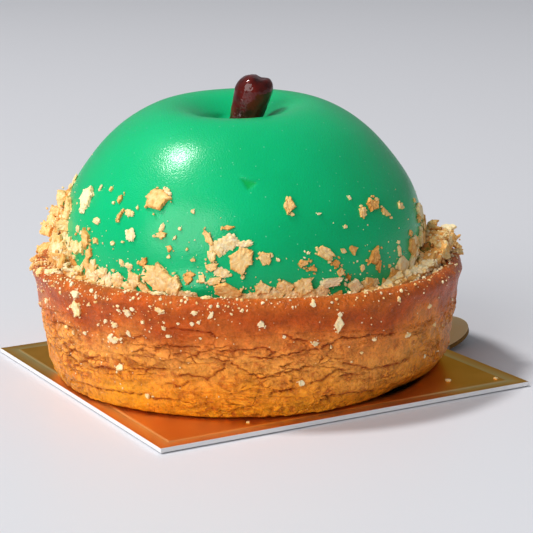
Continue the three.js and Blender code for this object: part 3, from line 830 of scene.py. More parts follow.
# %% Turn the dome
DOME_OUTLINE = [(33.4, 15), (33.7, 25.5), (31.9, 33.6), (27.5, 40.5),
                (21.8, 46.2), (14.9, 50), (7.4, 51.7), (0, 51.4)]
DOME_CENTRE = (-0.8, 0.25)
DOME_TILT = math.radians(1.7)
DOME_TILT_AZIMUTH = math.radians(-100)
DOME_PIVOT_HEIGHT = 18
DIMPLE_CENTRE = (-1.5, -2.2)
DIMPLE_DEPTH = 7.4
DIMPLE_REACH = 8.2
DIMPLE_FADE = 12
DOME_COLUMNS = 470
DOME_ROWS = 200

dome_side = smooth_outline(DOME_OUTLINE, DOME_ROWS).tolist()
dome = spun([(0, DOME_OUTLINE[0][1]), *dome_side], DOME_COLUMNS)
skin = points_of(dome)
shoulder = DOME_OUTLINE[4][1]
away = np.hypot(skin[:, 0] - DIMPLE_CENTRE[0], skin[:, 1] - DIMPLE_CENTRE[1])
dimple = DIMPLE_DEPTH * np.exp(-((away / DIMPLE_REACH) ** 2))
skin[:, 2] -= dimple * smooth(skin[:, 2], shoulder - DIMPLE_FADE, shoulder)
print("dimple floor at", round(float(skin[away < 2, 2].min()), 1), "mm")

# %% [markdown]
# The half apple does not stand quite straight: it leans a little to the front. Bisect cuts it
# level, where it meets the filling.

# %% Tilt the dome and set it in the case
tilt_axis = Vector((-math.sin(DOME_TILT_AZIMUTH), math.cos(DOME_TILT_AZIMUTH), 0))
lean = np.array(Matrix.Rotation(DOME_TILT, 3, tilt_axis))
seat = np.array([*DOME_CENTRE, DOME_PIVOT_HEIGHT + CARD_THICK])
skin = (skin - [0, 0, DOME_PIVOT_HEIGHT]) @ lean.T + seat
move_points(dome, skin)
floor_level = (FILLING_HEIGHT + CARD_GAP + CARD_THICK) * MM
bpy.ops.object.mode_set(mode="EDIT")
bpy.ops.mesh.select_all(action="SELECT")
bpy.ops.mesh.bisect(
    plane_co=(0, 0, floor_level), plane_no=(0, 0, 1), use_fill=True, clear_inner=True)
bpy.ops.object.mode_set(mode="OBJECT")
in_fixed_order(dome)
print("dome stands on", round(float(points_of(dome)[:, 2].min()), 2), "mm")

# %% [markdown]
# Later steps ask where a point of the picture lies on a piece. A search tree of the piece's faces
# answers that: the ray through the picture point is followed to the first face it meets.

# %% Find places by their picture point
def tree_of(piece):
    """A search tree in mm, for finding where a ray meets the piece."""
    faces = [tuple(face.vertices) for face in piece.data.polygons]
    return BVHTree.FromPolygons(points_of(piece).tolist(), faces)


def seen_at(column, row, *trees):
    """Where the ray through a point of the picture meets the nearest of the trees."""
    hits = [tree.ray_cast(CAMERA_PLACE, ray_through(column, row)) for tree in trees]
    hits = [hit for hit in hits if hit[0] is not None]
    return min(hits, key=lambda hit: hit[3]) if hits else None


def normals_of(piece):
    flat = np.empty(len(piece.data.vertices) * 3, np.float32)
    piece.data.vertices.foreach_get("normal", flat)
    return flat.reshape(-1, 3).astype(float)


print("dome's front is at", np.array(seen_at(260, 230, tree_of(dome))[0]).round(1))

# %% [markdown]
# The skin carries marks of the pour: two faint creases beside the dimple, a shallow three-cornered
# nick on the front with a lip above it, and a bead where glaze ran down and pooled at the foot.

# %% Marks of the pour
NICK = [(240, 178), (258, 182), (248, 191)]
NICK_DEPTH = 0.18
NICK_SOFTNESS = 1.6  # picture points
NICK_LIP = 0.2
NICK_LIP_RISE = 2.2  # picture points from the nick to the lip above it
NICK_LIP_SLOPE = 0.22
NICK_LIP_HALF_HEIGHT = 1.6  # picture points
NICK_LIP_HALF_LENGTH = 9  # picture points
CREASES = [(210, 117, 3.0, 0.22), (221, 117, 1.2, 0.3)]  # column, row, half length, depth
CREASE_HALF_WIDTH = 0.6
CREASE_BEND = 0.12
SKIN_SWELL = 0.05
BEAD = {"azimuth": -132, "width": 9, "height": 23.4, "tall": 2.0, "proud": 1.0}

dome_tree = tree_of(dome)
skin = points_of(dome)
out = normals_of(dome)
picture = picture_points(skin)
on_front = (out @ -np.array(CAMERA_AHEAD)) > 0.2
corners = np.array(NICK, float)
inside = np.full(len(skin), FAR_AWAY)
for start, end in zip(corners, np.roll(corners, -1, axis=0)):
    along = (end - start) / np.linalg.norm(end - start)
    gap = picture - start
    inside = np.minimum(inside, along[0] * gap[:, 1] - along[1] * gap[:, 0])
pit = on_front * smooth(inside, -NICK_SOFTNESS / 2, NICK_SOFTNESS)
ridge_place = (corners[0] + corners[1]) / 2 - [0, NICK_LIP_RISE]
ridge_gap = picture - ridge_place
ridge_off = (ridge_gap[:, 1] - NICK_LIP_SLOPE * ridge_gap[:, 0]) / NICK_LIP_HALF_HEIGHT
ridge = on_front * np.exp(-(ridge_off ** 2))
ridge = ridge * np.exp(-((ridge_gap[:, 0] / NICK_LIP_HALF_LENGTH) ** 4))
moved = NICK_LIP * ridge - NICK_DEPTH * pit
for column, row, size, depth in CREASES:
    place = np.array(seen_at(column, row, dome_tree)[0])
    across = (skin - place) @ np.array(CAMERA_UP)
    along = (skin - place) @ np.array(CAMERA_RIGHT)
    line = across - CREASE_BEND * np.sin(along * 1.3)
    moved -= depth * np.exp(-((line / CREASE_HALF_WIDTH) ** 2) - (along / size) ** 2)
dome_azimuth = np.degrees(np.arctan2(skin[:, 1], skin[:, 0]))
bead = bump(dome_azimuth, BEAD["azimuth"], BEAD["width"])
bead = bead * np.exp(-(((skin[:, 2] - BEAD["height"]) / BEAD["tall"]) ** 2))
moved += BEAD["proud"] * bead
moved += SKIN_SWELL * noise_at(skin, (9, 9, 9), 21) * (1 - smooth(out[:, 2], -0.2, -0.6))
move_points(dome, skin + out * moved[:, None])
write_attribute(dome, "nick", pit)
shade(dome, 60)
dome_tree = tree_of(dome)
print("points in the nick:", int((pit > 0.5).sum()))

# %% [markdown]
# The glaze is glucose syrup, gelatine and white colour under the green, so it is opaque but
# softly lit from within. Frost on the frozen dome left a very fine grain that breaks up the
# highlight, and tiny pale specks. A rough gloss gives the wide glow, and a thin sharper coat over
# it gives the core of the highlight and the small wet glints along creases and bead.

# %% Green glaze
glaze, shader = new_material("green mirror glaze, poured")
where = add_node(glaze, "ShaderNodeTexCoord")
hue = ramp_of(glaze, noise_of(glaze, where, 14, 3), [(0.3, "#00b26d"), (0.7, "#00ba75")])
bared = mixed(glaze, mark(glaze, "nick"), hue, linear("#00aa50"))
seeds = add_node(glaze, "ShaderNodeTexVoronoi",
                 {"Vector": where.outputs["Object"], "Scale": 1 / (1.5 * MM)})
speck = mapped(glaze, seeds.outputs["Distance"], 0.05, 0.09, 0.4, 0.0)
frost = noise_of(glaze, where, 0.28, 1)
feed(glaze, shader, {
    "Base Color": mixed(glaze, speck, bared, linear("#9fe8c4")),
    "Roughness": 0.4, "IOR": 1.45, "Specular IOR Level": 0.2, "Specular Tint": linear("#7fe8b4"),
    "Subsurface Weight": 0.2, "Subsurface Radius": (0.1, 1.0, 0.4), "Subsurface Scale": 1.4 * MM,
    "Coat Weight": 0.5, "Coat Roughness": 0.2,
    "Normal": bumped(glaze, frost, 0.8, 0.08), "Coat Normal": bumped(glaze, frost, 0.8, 0.035),
})
finish_piece(dome, "glazed_mousse_dome", glaze, "glazed_dome")

# %% [markdown]
# ## Chocolate stem
#
# The stem is a short rod of dark chocolate, rolled by hand and brushed with a gloss lacquer: a
# little thicker at its blunt head, with dents where fingers held it.

# %% Roll the stem
STEM_LENGTH = 16.4
STEM_FOOT_RADIUS = 2.1
STEM_HEAD_RADIUS = 3.4
STEM_HEAD_HEIGHT = 2.9
STEM_BLUNTNESS = 0.6
STEM_LEAN = math.radians(17)
STEM_LEAN_AZIMUTH = math.radians(-28)
STEM_SLANT = 0.2
STEM_DENT = 0.45
STEM_DENT_PLACE = 0.8
STEM_DENT_WIDTH = 0.9
STEM_FLATNESS = 0.94
STEM_FINGER_DENTS = 0.17
STEM_RIPPLES = 0.06
STEM_LUMPS = 0.2
STEM_FOOT = (-3.6, -2.3, 39.4)

neck = STEM_LENGTH - STEM_HEAD_HEIGHT
stem_outline = [(0, 0), (STEM_FOOT_RADIUS * 0.6, 0)]
for share in np.linspace(0, 1, 40):
    girth = STEM_FOOT_RADIUS + (STEM_HEAD_RADIUS - STEM_FOOT_RADIUS) * float(share)
    stem_outline.append((girth, neck * float(share)))
for turn in np.linspace(0, math.pi / 2, 26)[1:-1]:
    stem_outline.append((STEM_HEAD_RADIUS * math.cos(turn) ** STEM_BLUNTNESS,
                         neck + STEM_HEAD_HEIGHT * math.sin(turn)))
stem_outline.append((0, STEM_LENGTH))
stem = spun(stem_outline, 96)
rod = points_of(stem)
head = smooth(rod[:, 2], neck, STEM_LENGTH)
slanted = STEM_SLANT * rod[:, 0] * smooth(rod[:, 2], neck / 2, STEM_LENGTH)
dented = np.exp(-(((rod[:, 0] - STEM_DENT_PLACE) / STEM_DENT_WIDTH) ** 2))
rod[:, 2] += slanted - STEM_DENT * head * dented
rod[:, 1] *= STEM_FLATNESS
print("stem:", triangles_in(stem), "triangles")

# %% [markdown]
# Fingers left it uneven: broad dents along the side and small ripples that break the gloss into
# separate glints, with smaller lumps in the lower half, where the lacquer gathered. Then it is
# leaned and set into the dimple, its foot inside the mousse.

# %% Dent the stem and set it in the dimple
dents = STEM_FINGER_DENTS * noise_at(rod, (3, 3, 6), 31)
dents = dents + STEM_RIPPLES * noise_at(rod, (1.2, 1.2, 1.5), 32)
dents += STEM_LUMPS * noise_at(rod, (0.9, 0.9, 1.1), 33) * (1 - smooth(rod[:, 2], 7, 11))
move_points(stem, rod)
rod += normals_of(stem) * (dents * smooth(rod[:, 2], 0, 3))[:, None]
upright = Matrix.Rotation(STEM_LEAN_AZIMUTH, 3, "Z") @ Matrix.Rotation(STEM_LEAN, 3, "Y")
rod = rod @ np.array(upright).T + np.array(STEM_FOOT) + CARD_TOP
move_points(stem, rod)
shade(stem)
print("stem reaches", rod[:, 2].max().round(1), "mm")

# %% [markdown]
# Dark chocolate under a clear lacquer: a nearly black red-brown body, redder in smears, and a hard
# gloss on top that shows small sharp glints.

# %% Lacquered chocolate
chocolate, shader = new_material("dark chocolate, lacquered")
where = add_node(chocolate, "ShaderNodeTexCoord")
ripple = bumped(chocolate, noise_of(chocolate, where, 1.3, 2), 0.6, 0.22)
smears = noise_of(chocolate, where, 3, 3)
feed(chocolate, shader, {
    "Base Color": ramp_of(chocolate, smears, [(0.3, "#240402"), (0.7, "#641008")]),
    "Roughness": 0.28, "Specular IOR Level": 0.25, "Specular Tint": linear("#c8705e"),
    "Coat Weight": 0.7, "Coat Roughness": 0.04, "Normal": ripple, "Coat Normal": ripple,
})
finish_piece(stem, "chocolate_stem", chocolate, "stem")

# %% [markdown]
# ## Crushed wafer
#
# The flakes are thin rolled wafer, crushed by hand: flat plates with straight breaks, nibbled and
# layered edges, a few sticks, many crumbs and dust. Discs are turned on the wheel and broken to
# ragged outlines, and crumbs start as small balls. Each flake is a copy of one of them with its
# own width, length, thickness and curl. The few large plates have fine nibbled edges, and the
# chips that are strewn by the hundred have a few dozen faces each.

# %% Break plates out of discs
PLATE_OUTLINE = [(0, -0.5), (0.5, -0.5), (0.93, -0.48), (1.0, -0.3), (0.95, -0.05), (1.0, 0.25),
                 (0.93, 0.5), (0.66, 0.5), (0.33, 0.5), (0, 0.5)]
THIN_OUTLINE = [(0, -0.5), (0.92, -0.46), (1.0, 0.0), (0.9, 0.5), (0.45, 0.5), (0, 0.5)]
CHIP_OUTLINE = [(0, -0.5), (0.95, -0.42), (0.95, 0.42), (0, 0.5)]


def broken_rim(angle, corners, draw):
    """Reach of a polygon's edge at each angle, for corners at uneven angles and distances."""
    starts = [2 * math.pi * (i + 0.6 * draw.random()) / corners for i in range(corners)]
    reaches = [0.66 + 0.5 * draw.random() for _ in range(corners)]
    angle = np.mod(angle - starts[0], 2 * math.pi)
    starts = [start - starts[0] for start in starts] + [2 * math.pi]
    reaches.append(reaches[0])
    rim = np.ones(len(angle))
    for i in range(corners):
        inside = (angle >= starts[i]) & (angle <= starts[i + 1])
        before, after = angle - starts[i], starts[i + 1] - angle
        wide = reaches[i + 1] * np.sin(before) + reaches[i] * np.sin(after)
        chord = reaches[i] * reaches[i + 1] * math.sin(starts[i + 1] - starts[i])
        rim = np.where(inside, chord / np.maximum(wide, 1e-6), rim)
    return rim


def wafer_plate(seed, corners, outline, segments, nibble):
    """A ragged plate about 2 wide and 1 thick, lying flat: its points, triangles and edge mark."""
    draw = random.Random(seed)
    plate = spun(outline, segments)
    disc = points_of(plate)
    flat = np.hypot(disc[:, 0], disc[:, 1])
    angle = np.arctan2(disc[:, 1], disc[:, 0])
    rim = broken_rim(angle, corners, draw)
    ring = np.column_stack([np.cos(angle), np.sin(angle), 0.3 * disc[:, 2]])
    bites = 0.4 * noise_at(ring, (0.5,) * 3, seed, 2) + noise_at(ring, (0.1,) * 3, seed + 20, 2)
    bitten = 1 + nibble * bites * flat ** 2
    rough = 0.22 * noise_at(disc * [2.6, 2.6, 0], (1, 1, 1), seed + 50, 3)
    out = rim * bitten
    shaped = np.column_stack([disc[:, 0] * out, disc[:, 1] * out, disc[:, 2] + rough])
    plate.data.calc_loop_triangles()
    triangles = np.array([tuple(face.vertices) for face in plate.data.loop_triangles])
    bpy.data.objects.remove(plate)
    return shaped, triangles, smooth(flat, 0.8, 1.0)


large_plates = [wafer_plate(seed, 5 + seed % 3, PLATE_OUTLINE, 72, 0.12) for seed in range(1, 9)]
plates = [wafer_plate(seed, 4 + seed % 4, THIN_OUTLINE, 22, 0.15) for seed in range(11, 21)]
chips = [wafer_plate(seed, 4 + seed % 3, CHIP_OUTLINE, 14, 0.18) for seed in range(81, 97)]
print("triangles in a large plate, a plate and a chip:",
      *[len(kinds[0][1]) for kinds in (large_plates, plates, chips)])

# %% [markdown]
# Where many small bubbles burst together, a crumb is a cluster of lumps rather than a plate.
# Small balls with strong noise give these, and the finest dust is the same with fewer sides.

# %% Crumbs and grains
def wafer_crumb(seed, detail, lumps):
    """A lumpy crumb about 2 across and 1 thick: its points, triangles and edge mark."""
    deselect_all()
    bpy.ops.mesh.primitive_ico_sphere_add(subdivisions=detail, radius=MM)
    crumb = bpy.context.object
    ball = points_of(crumb)
    size = 1 + lumps * noise_at(ball * 2.4, (1, 1, 1), seed, 4)
    triangles = np.array([tuple(face.vertices) for face in crumb.data.polygons])
    bpy.data.objects.remove(crumb)
    return ball * size[:, None] * [1, 1, 0.5], triangles, np.full(len(ball), 0.3)


clusters = [wafer_crumb(seed, 4, 0.48) for seed in range(51, 55)]
grains = [wafer_crumb(seed, 1, 0.4) for seed in range(61, 65)]
print("triangles in a cluster and in a grain:", len(clusters[0][1]), len(grains[0][1]))

# %% [markdown]
# All flakes of one kind are joined into one mesh, because thousands of loose objects would be
# slow. A flake is laid by the place and normal of what carries it, a turn in its own plane and a
# tilt, and each keeps a tone from pale to toasted for the paint.

# %% Lay flakes on a surface and join them
def axes_on(normal, spin, tilt=0.0, upward=(0, 0, 1)):
    """Side, up and outward axes as columns, on a surface with that normal. Angles are degrees."""
    normal = Vector(normal).normalized()
    up = Vector(upward) - normal * normal.dot(Vector(upward))
    up = up.normalized() if up.length > 0.05 else normal.orthogonal().normalized()
    base = Matrix((up.cross(normal), up, normal)).transposed()
    turned = Matrix.Rotation(math.radians(spin), 3, "Z")
    return base @ turned @ Matrix.Rotation(math.radians(tilt), 3, "X")


SUNK = 0.3  # share of its thickness by which a flake sits in what carries it


class Flakes:
    """Collects flakes, then joins them into one mesh."""

    def __init__(self, kinds, seed):
        self.kinds = kinds
        self.draw = random.Random(seed)
        self.points, self.triangles, self.tones, self.edges = [], [], [], []
        self.count = 0

    def lay(self, place, axes, size, curl, tone, kind=None):
        shape, triangles, edge = kind or self.draw.choice(self.kinds)
        width, length, thick = size
        local = shape * [width / 2, length / 2, thick]
        local[:, 2] += curl * width / 2 * shape[:, 0] ** 2 + thick * (0.5 - SUNK)
        self.points.append(local @ np.array(axes).T + np.array(place))
        self.triangles.append(triangles + self.count)
        self.tones.append(np.full(len(shape), tone))
        self.edges.append(edge)
        self.count += len(shape)

    def joined(self):
        mesh = bpy.data.meshes.new("flakes")
        points = np.concatenate(self.points) * MM
        mesh.from_pydata(points.tolist(), [], np.concatenate(self.triangles).tolist())
        piece = bpy.data.objects.new("flakes", mesh)
        bpy.context.scene.collection.objects.link(piece)
        write_attribute(piece, "tone", np.concatenate(self.tones))
        write_attribute(piece, "edge", np.concatenate(self.edges))
        shade(piece, 50)
        return piece


# %% [markdown]
# For flakes that fell anywhere, points are drawn at random from a piece's triangles, by their
# area and by a density that each use gives.

# %% Random spots on a piece
def spots_on(piece, count, density, seed):
    """Random points and normals on a piece, more of them where density(points) is higher."""
    draw = np.random.default_rng(seed)
    piece.data.calc_loop_triangles()
    flat = np.empty(len(piece.data.loop_triangles) * 3, np.int32)
    piece.data.loop_triangles.foreach_get("vertices", flat)
    corners = points_of(piece)[flat.reshape(-1, 3)]
    a, b, c = corners[:, 0], corners[:, 1], corners[:, 2]
    cross = np.cross(b - a, c - a)
    area = np.linalg.norm(cross, axis=1)
    weight = area * np.maximum(density(corners.mean(axis=1)), 0)
    chosen = draw.choice(len(weight), count, p=weight / weight.sum())
    root, share = np.sqrt(draw.random(count)), draw.random(count)
    mix = (1 - root, root * (1 - share), root * share)
    places = sum(part[:, None] * corner[chosen] for part, corner in zip(mix, (a, b, c)))
    return places, cross[chosen] / area[chosen][:, None]


# %% [markdown]
# Wafer is dry, matt and pale gold, with browner edges where it was rolled and baked twice. Its
# surface is full of small burst bubbles, so the colour is mottled and the surface pitted at a
# size of about 0.7 mm and finer.

# %% Crushed wafer
wafer, shader = new_material("rolled wafer, crushed")
where = add_node(wafer, "ShaderNodeTexCoord")
bubbles = noise_of(wafer, where, 0.7, 4, 0.65)
mottled = maths(wafer, "MULTIPLY_ADD", bubbles, 0.9, -0.54)
browned = maths(wafer, "MULTIPLY_ADD", mark(wafer, "edge"), 0.16, mark(wafer, "tone"))
toast = ramp_of(wafer, maths(wafer, "ADD", browned, mottled), [
    (0.0, "#ffe9bc"), (0.22, "#fcd590"), (0.45, "#f4b869"), (0.68, "#dd9440"), (0.88, "#b56d2a"),
    (1.0, "#7c762f")])
feed(wafer, shader, {
    "Base Color": toast, "Roughness": 0.7, "Specular IOR Level": 0.25,
    "Subsurface Weight": 0.15, "Subsurface Radius": (1.0, 0.6, 0.25),
    "Subsurface Scale": 0.5 * MM, "Normal": bumped(wafer, bubbles, 1.0, 0.22),
})

# %% [markdown]
# ## Heap round the dome's foot
#
# Fine crumbs lie in the groove between dome and lip, low in front, where dark gaps show between
# the flakes, and higher at the back. On the left and right they were pressed up the dome's side.
# This filling is one spun ring whose top is raised by the rule that the solid has.

# %% Fill the groove
HEAP_LEVEL = 19.8
HEAP_HIDDEN_RISE = 2.4
FRONT_AZIMUTH = -108
HEAP_PEAKS = [(158, 16, 12.5), (-33, 16, 3.5), (75, 30, 4.5), (15, 22, 3)]
HEAP_SPILLS = [(172, 20, 1.0), (-26, 16, 2.2)]  # where it leans out: azimuth, width, mm
HEAP_THIN_RISE = 10  # mm over which the climbing heap thins out
HEAP_THINNING = 0.55
HEAP_FRONT_WIDTH = 62
HEAP_TONE = 0.62
HEAP_LUMPS = 0.8
HEAP_KNOBS = 0.6
HEAP_FINE_KNOBS = 0.35
HEAP_COLUMNS = 480
GROOVE_RIM = 18.2  # height at which the lip's inner side begins to round over


def heap_climb(azimuth):
    return sum(extra * bump(azimuth, centre, width) for centre, width, extra in HEAP_PEAKS)


def heap_top(azimuth):
    hidden = 1 - bump(azimuth, FRONT_AZIMUTH, HEAP_FRONT_WIDTH)
    return HEAP_LEVEL + HEAP_HIDDEN_RISE * hidden + heap_climb(azimuth)


dome_rings = np.array(dome_side)


def dome_radius(height):
    return np.interp(height, dome_rings[:, 1], dome_rings[:, 0])


base = FILLING_HEIGHT + CARD_GAP
groove = [(32.6, base), (34.5, base), (35.9, base), (35.95, 17.6)]
rounding = np.linspace(0, 1, 16).tolist()
groove += [(36 + 0.35 * share, GROOVE_RIM + 1.6 * share) for share in rounding]
groove += [(radius, HEAP_LEVEL) for radius in (36, 35.5, 35, 34.5, 34, 33.5, 33, 32.4)]
groove += [(32.4, base)]
heap = spun(groove, HEAP_COLUMNS)
print("ring:", triangles_in(heap), "triangles")

# %% [markdown]
# The ring's upper part is drawn up to the heap's height at each place, follows the dome inward
# and thins out as it climbs, leans out over the lip at two places, and gets lumps of two sizes.

# %% Raise the heap and make it lumpy
fill = points_of(heap)
fill_radius = np.hypot(fill[:, 0], fill[:, 1])
fill_turn = np.arctan2(fill[:, 1], fill[:, 0])
fill_azimuth = np.degrees(fill_turn)
high = smooth(fill[:, 2], GROOVE_RIM, HEAP_LEVEL)
lumps = HEAP_LUMPS * noise_at(fill, (2.4, 2.4, 2.4), 41)
top = fill[:, 2] + high * (heap_top(fill_azimuth) - HEAP_LEVEL + lumps)
inward = high * (dome_radius(fill[:, 2]) - dome_radius(top))
raised = np.column_stack([fill[:, :2] / fill_radius[:, None] * 36, top])
knobs = HEAP_KNOBS * noise_at(raised, (2.2, 2.2, 2.2), 42)
knobs = knobs + HEAP_FINE_KNOBS * noise_at(raised, (0.9, 0.9, 0.9), 43)
spill = sum(reach * bump(fill_azimuth, centre, width) for centre, width, reach in HEAP_SPILLS)
spill = spill * np.sin(math.pi * np.clip(high, 0, 1) ** 0.8 * 0.75)
outer = smooth(fill_radius, 33.6, 35.5) * high
slim = 1 - HEAP_THINNING * smooth(top, HEAP_LEVEL + 1, HEAP_LEVEL + 1 + HEAP_THIN_RISE)
slimmed = np.minimum(fill_radius, 33) + np.maximum(fill_radius - 33, 0) * slim
knobbly = 0.3 + 0.5 * (heap_climb(fill_azimuth) > 1)
share = (slimmed - inward + outer * (spill + knobs * knobbly)) / fill_radius
rim = lip_wave(fill_turn) * smooth(fill[:, 2], base, CASE_HEIGHT) * (1 - high)
move_points(heap, np.column_stack([fill[:, 0] * share, fill[:, 1] * share, top + rim]) + CARD_TOP)
write_attribute(heap, "tone", np.full(len(fill), HEAP_TONE))
write_attribute(heap, "edge", np.zeros(len(fill)))
shade(heap)
finish_piece(heap, "wafer_heap_filling", wafer, "crumb_ring")
heap_tree = tree_of(heap)
case_tree = tree_of(case)

# %% [markdown]
# Now the flakes. Those that stand out in the picture are listed by their picture point, size in
# millimetres, turn and tone: a ray through the point finds the surface that carries them. This
# list holds those at the dome's foot and those in the two piles at its sides.

# %% Flakes that the picture shows at the dome's foot
# column, row, width, length, turn, tone
SEEN_AT_FOOT = [
    (93, 276, 3.2, 2.2, 10, 0.1), (107, 281, 2.3, 3.0, -10, 0.05), (102, 273, 2.8, 1.4, 0, 0.2),
    (118, 280, 2.6, 2.0, 30, 0.2), (135, 279, 3.2, 3.6, 20, 0.25), (157, 277, 5.6, 5.0, -10, 0.3),
    (174, 287, 3.0, 3.9, -30, 0.25), (144, 287, 2.8, 1.4, -35, 0.3), (127, 286, 2.4, 1.0, -25, 0.2),
    (70, 271, 2.4, 2.5, 0, 0.1), (80, 273, 1.2, 2.8, -5, 0.3), (59, 273, 1.8, 1.5, 0, 0.1),
    (188, 280, 1.7, 1.6, 0, 0.6), (185, 295, 2.8, 1.3, 15, 0.15), (158, 294, 2.1, 1.2, -15, 0.1),
    (192, 295, 1.6, 1.2, 0, 0.2), (228, 291, 5.2, 2.6, -20, 0.45), (263, 288, 3.6, 2.6, 0, 0.3),
    (256, 297, 2.4, 1.5, 20, 0.2), (271, 295, 2.6, 1.9, 10, 0.2), (285, 287, 3.4, 2.4, -10, 0.3),
    (279, 295, 2.2, 1.5, 0, 0.3), (304, 287, 3.6, 3.0, 30, 0.3), (292, 295, 2.4, 1.7, 20, 0.2),
    (302, 295, 1.9, 2.2, 0, 0.2), (321, 292, 2.4, 1.9, 30, 0.15), (331, 282, 4.9, 1.6, 12, 0.0),
    (206, 298, 1.4, 0.8, 0, 0.2), (236, 298, 1.6, 2.0, 20, 0.1), (246, 297, 2.6, 1.2, 15, 0.2),
    (340, 272, 1.4, 1.8, -30, 0.4), (348, 277, 1.4, 1.1, 0, 0.9), (355, 286, 3.6, 2.4, -10, 0.1),
    (385, 283, 2.2, 1.4, 20, 0.15), (396, 279, 3.8, 2.2, 45, 0.25), (412, 258, 5.4, 1.4, 47, 0.15),
    (439, 255, 5.2, 1.3, 65, 0.45), (436, 231, 1.6, 3.5, 10, 0.7), (451, 238, 3.4, 2.2, -10, 0.5),
    (425, 249, 1.9, 4.0, 0, 0.95), (433, 245, 1.5, 2.8, 25, 0.4), (418, 271, 3.0, 2.0, 20, 0.05),
    (428, 264, 1.9, 1.6, 0, 0.1), (446, 247, 2.8, 1.8, -30, 0.5), (366, 284, 2.0, 1.4, 0, 0.3),
    (374, 283, 1.8, 1.3, 10, 0.2), (405, 275, 2.0, 1.4, 30, 0.15), (311, 293, 2.0, 1.6, 10, 0.25),
]
SEEN_IN_PILE = [
    (75, 181, 1.6, 2.2, 10, 0.2), (71, 189, 2.0, 1.8, 0, 0.25), (62, 197, 2.6, 3.4, -15, 0.3),
    (56, 211, 3.2, 2.6, 20, 0.35), (69, 211, 2.8, 5.0, -6, 0.3), (48, 229, 2.8, 3.8, 35, 0.4),
    (58, 221, 2.6, 2.2, 0, 0.3), (65, 226, 3.6, 2.4, -10, 0.3), (55, 237, 2.4, 2.8, 10, 0.4),
    (67, 237, 2.0, 2.9, 8, 0.2), (60, 248, 3.0, 2.6, 0, 0.25), (45, 249, 3.4, 2.4, 25, 0.5),
    (52, 256, 3.2, 2.2, 5, 0.45), (37, 258, 3.0, 2.0, 30, 0.4), (66, 252, 2.6, 2.4, 0, 0.2),
    (33, 266, 2.0, 1.6, 20, 0.35), (44, 264, 3.0, 1.8, 10, 0.3), (60, 263, 3.4, 2.0, 0, 0.25),
    (73, 246, 1.8, 1.6, 0, 0.2), (50, 220, 2.2, 2.4, -20, 0.35), (63, 205, 2.4, 2.2, 15, 0.3),
    (40, 272, 2.4, 1.5, 10, 0.3), (52, 272, 2.6, 1.4, 5, 0.2),
    (455, 245, 3.0, 1.2, -35, 0.35), (448, 240, 3.2, 1.3, 40, 0.2), (458, 252, 2.0, 1.6, 10, 0.3),
    (443, 234, 2.6, 1.2, -20, 0.3), (451, 252, 2.4, 1.8, 30, 0.1), (433, 224, 2.2, 1.4, 20, 0.4),
]
print("flakes to set at the foot and in the pile:", len(SEEN_AT_FOOT) + len(SEEN_IN_PILE))

# %% [markdown]
# These lie further up, one by one on the glaze.

